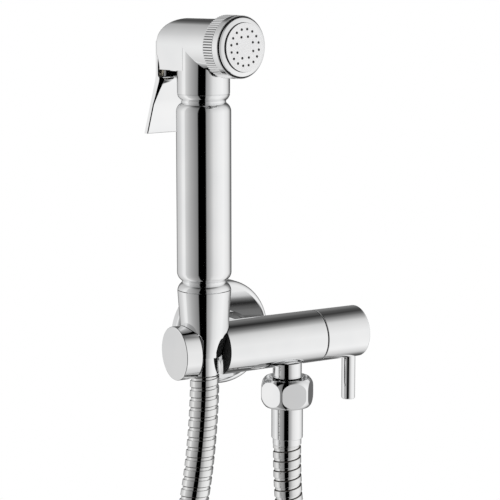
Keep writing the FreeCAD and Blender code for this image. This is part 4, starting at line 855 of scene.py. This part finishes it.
# Share of that brightness over the elevation, in degrees
TENT_RISE = [
    (-90, 0.5),
    (-60, 0.78),
    (-52, 0.92),
    (-45, 1.0),
    (5, 1.0),
    (16, 0.95),
    (27, 0.89),
    (38, 0.81),
    (44, 0.74),
    (48, 0.65),
    (52, 0.5),
    (55, 0.38),
    (57, 0.29),
    (60, 0.2),
    (66, 0.1),
    (90, 0.05),
]
# The dark card behind on the right leans forward with height: from and to, in degrees
LEAN_ELEVATION = (40.0, 58.0)
LEAN_AZIMUTH = (40.0, 100.0)
LEAN = 15.0
TENT_RADIUS = 1.6
TENT_HEIGHT = 2.4
TENT_SIDES = 96
TENT_LIFT = 0.002
# Azimuth of the camera's side, where the tent's azimuth is 0
CAMERA_SIDE = -30.85


def ramp(tree, value, stops, low, high):
    """Brightness by a list of stops over a value between low and high."""
    share = tree.nodes.new("ShaderNodeMapRange")
    share.inputs["From Min"].default_value = low
    share.inputs["From Max"].default_value = high
    tree.links.new(value, share.inputs["Value"])
    node = tree.nodes.new("ShaderNodeValToRGB")
    elements = node.color_ramp.elements
    for index, (place, level) in enumerate(stops):
        position = (place - low) / (high - low)
        element = elements[index] if index < 2 else elements.new(position)
        element.position = position
        element.color = (level, level, level, 1.0)
    tree.links.new(share.outputs["Result"], node.inputs["Fac"])
    return node.outputs["Color"]


def between(tree, value, limits):
    """0 below the limits, 1 above them; the limits are in degrees, the value in radians."""
    node = tree.nodes.new("ShaderNodeMapRange")
    node.inputs["From Min"].default_value = math.radians(limits[0])
    node.inputs["From Max"].default_value = math.radians(limits[1])
    tree.links.new(value, node.inputs["Value"])
    return node.outputs["Result"]


def calculate(tree, operation, first, second):
    """A sum of two values, each a number or another node's output."""
    node = tree.nodes.new("ShaderNodeMath")
    node.operation = operation
    for socket, value in zip(node.inputs, (first, second)):
        if isinstance(value, (int, float)):
            socket.default_value = value
        else:
            tree.links.new(value, socket)
    return node.outputs[0]


def make_tent():
    """A round tent from the floor to a closed top, seen by mirrors alone."""
    vertices = []
    for level in (0.0, TENT_HEIGHT):
        for side in range(TENT_SIDES):
            angle = 2 * math.pi * side / TENT_SIDES
            across = TENT_RADIUS * math.cos(angle)
            vertices.append((across, TENT_RADIUS * math.sin(angle), level))
    faces = [tuple(range(TENT_SIDES)), tuple(range(TENT_SIDES, 2 * TENT_SIDES))]
    for side in range(TENT_SIDES):
        after = (side + 1) % TENT_SIDES
        faces.append((side, after, TENT_SIDES + after, TENT_SIDES + side))
    mesh = bpy.data.meshes.new("light_tent")
    mesh.from_pydata(vertices, [], faces)
    tent = bpy.data.objects.new("light_tent", mesh)
    bpy.context.scene.collection.objects.link(tent)
    tent.location = (STUDIO_CENTRE.x, STUDIO_CENTRE.y, FLOOR_LEVEL + TENT_LIFT)
    tent.visible_camera = False
    tent.visible_diffuse = False
    tent.visible_shadow = False
    tent.visible_transmission = False
    material = bpy.data.materials.new("light_tent")
    material.use_nodes = True
    material.cycles.emission_sampling = "NONE"
    tree = material.node_tree
    tree.nodes.remove(tree.nodes["Principled BSDF"])
    where = tree.nodes.new("ShaderNodeTexCoord")
    apart = tree.nodes.new("ShaderNodeSeparateXYZ")
    tree.links.new(where.outputs["Object"], apart.inputs[0])
    x, y, z = apart.outputs
    turn = math.radians(CAMERA_SIDE)
    ahead = calculate(tree, "SUBTRACT", calculate(tree, "MULTIPLY", x, math.sin(turn)),
                      calculate(tree, "MULTIPLY", y, math.cos(turn)))
    right = calculate(tree, "ADD", calculate(tree, "MULTIPLY", x, math.cos(turn)),
                      calculate(tree, "MULTIPLY", y, math.sin(turn)))
    azimuth = calculate(tree, "ARCTAN2", right, ahead)
    height = calculate(tree, "SUBTRACT", z, STUDIO_CENTRE.z - FLOOR_LEVEL)
    run = calculate(tree, "SQRT", calculate(tree, "ADD", calculate(tree, "MULTIPLY", x, x),
                                            calculate(tree, "MULTIPLY", y, y)), 0.0)
    elevation = calculate(tree, "ARCTAN2", height, run)
    leaning = calculate(tree, "MULTIPLY", between(tree, elevation, LEAN_ELEVATION),
                        between(tree, azimuth, LEAN_AZIMUTH))
    lean = calculate(tree, "MULTIPLY", leaning, math.radians(LEAN))
    azimuth = calculate(tree, "ADD", azimuth, lean)
    wall_stops = [(math.radians(angle), level) for angle, level in TENT_WALL]
    rise_stops = [(math.radians(angle), level) for angle, level in TENT_RISE]
    wall = ramp(tree, azimuth, wall_stops, -math.pi, math.pi)
    rise = ramp(tree, elevation, rise_stops, -math.pi / 2, math.pi / 2)
    glow = tree.nodes.new("ShaderNodeEmission")
    tree.links.new(calculate(tree, "MULTIPLY", wall, rise), glow.inputs["Strength"])
    tree.links.new(glow.outputs[0], tree.nodes["Material Output"].inputs["Surface"])
    mesh.materials.append(material)


def make_studio():
    bpy.context.scene.view_settings.view_transform = "Standard"
    make_world()
    make_floor()
    make_tent()
    for name, row in SOFTBOXES.items():
        make_softbox(name, *row)


materials = make_materials()
dress_nodes(materials)
paint_bezel_knurl_shade()
make_camera()
make_hose(materials["hose_steel"], materials["hose_slit"])
make_cone_nut(materials["polished_chrome"])
make_seat_shade_liner(materials["black_rubber"])
make_front_ring(materials["polished_chrome"])
make_spray_face_shade(materials["black_rubber"])
make_seam_shadow_ring(materials["black_rubber"])
make_trigger(materials["polished_chrome"])
make_studio()
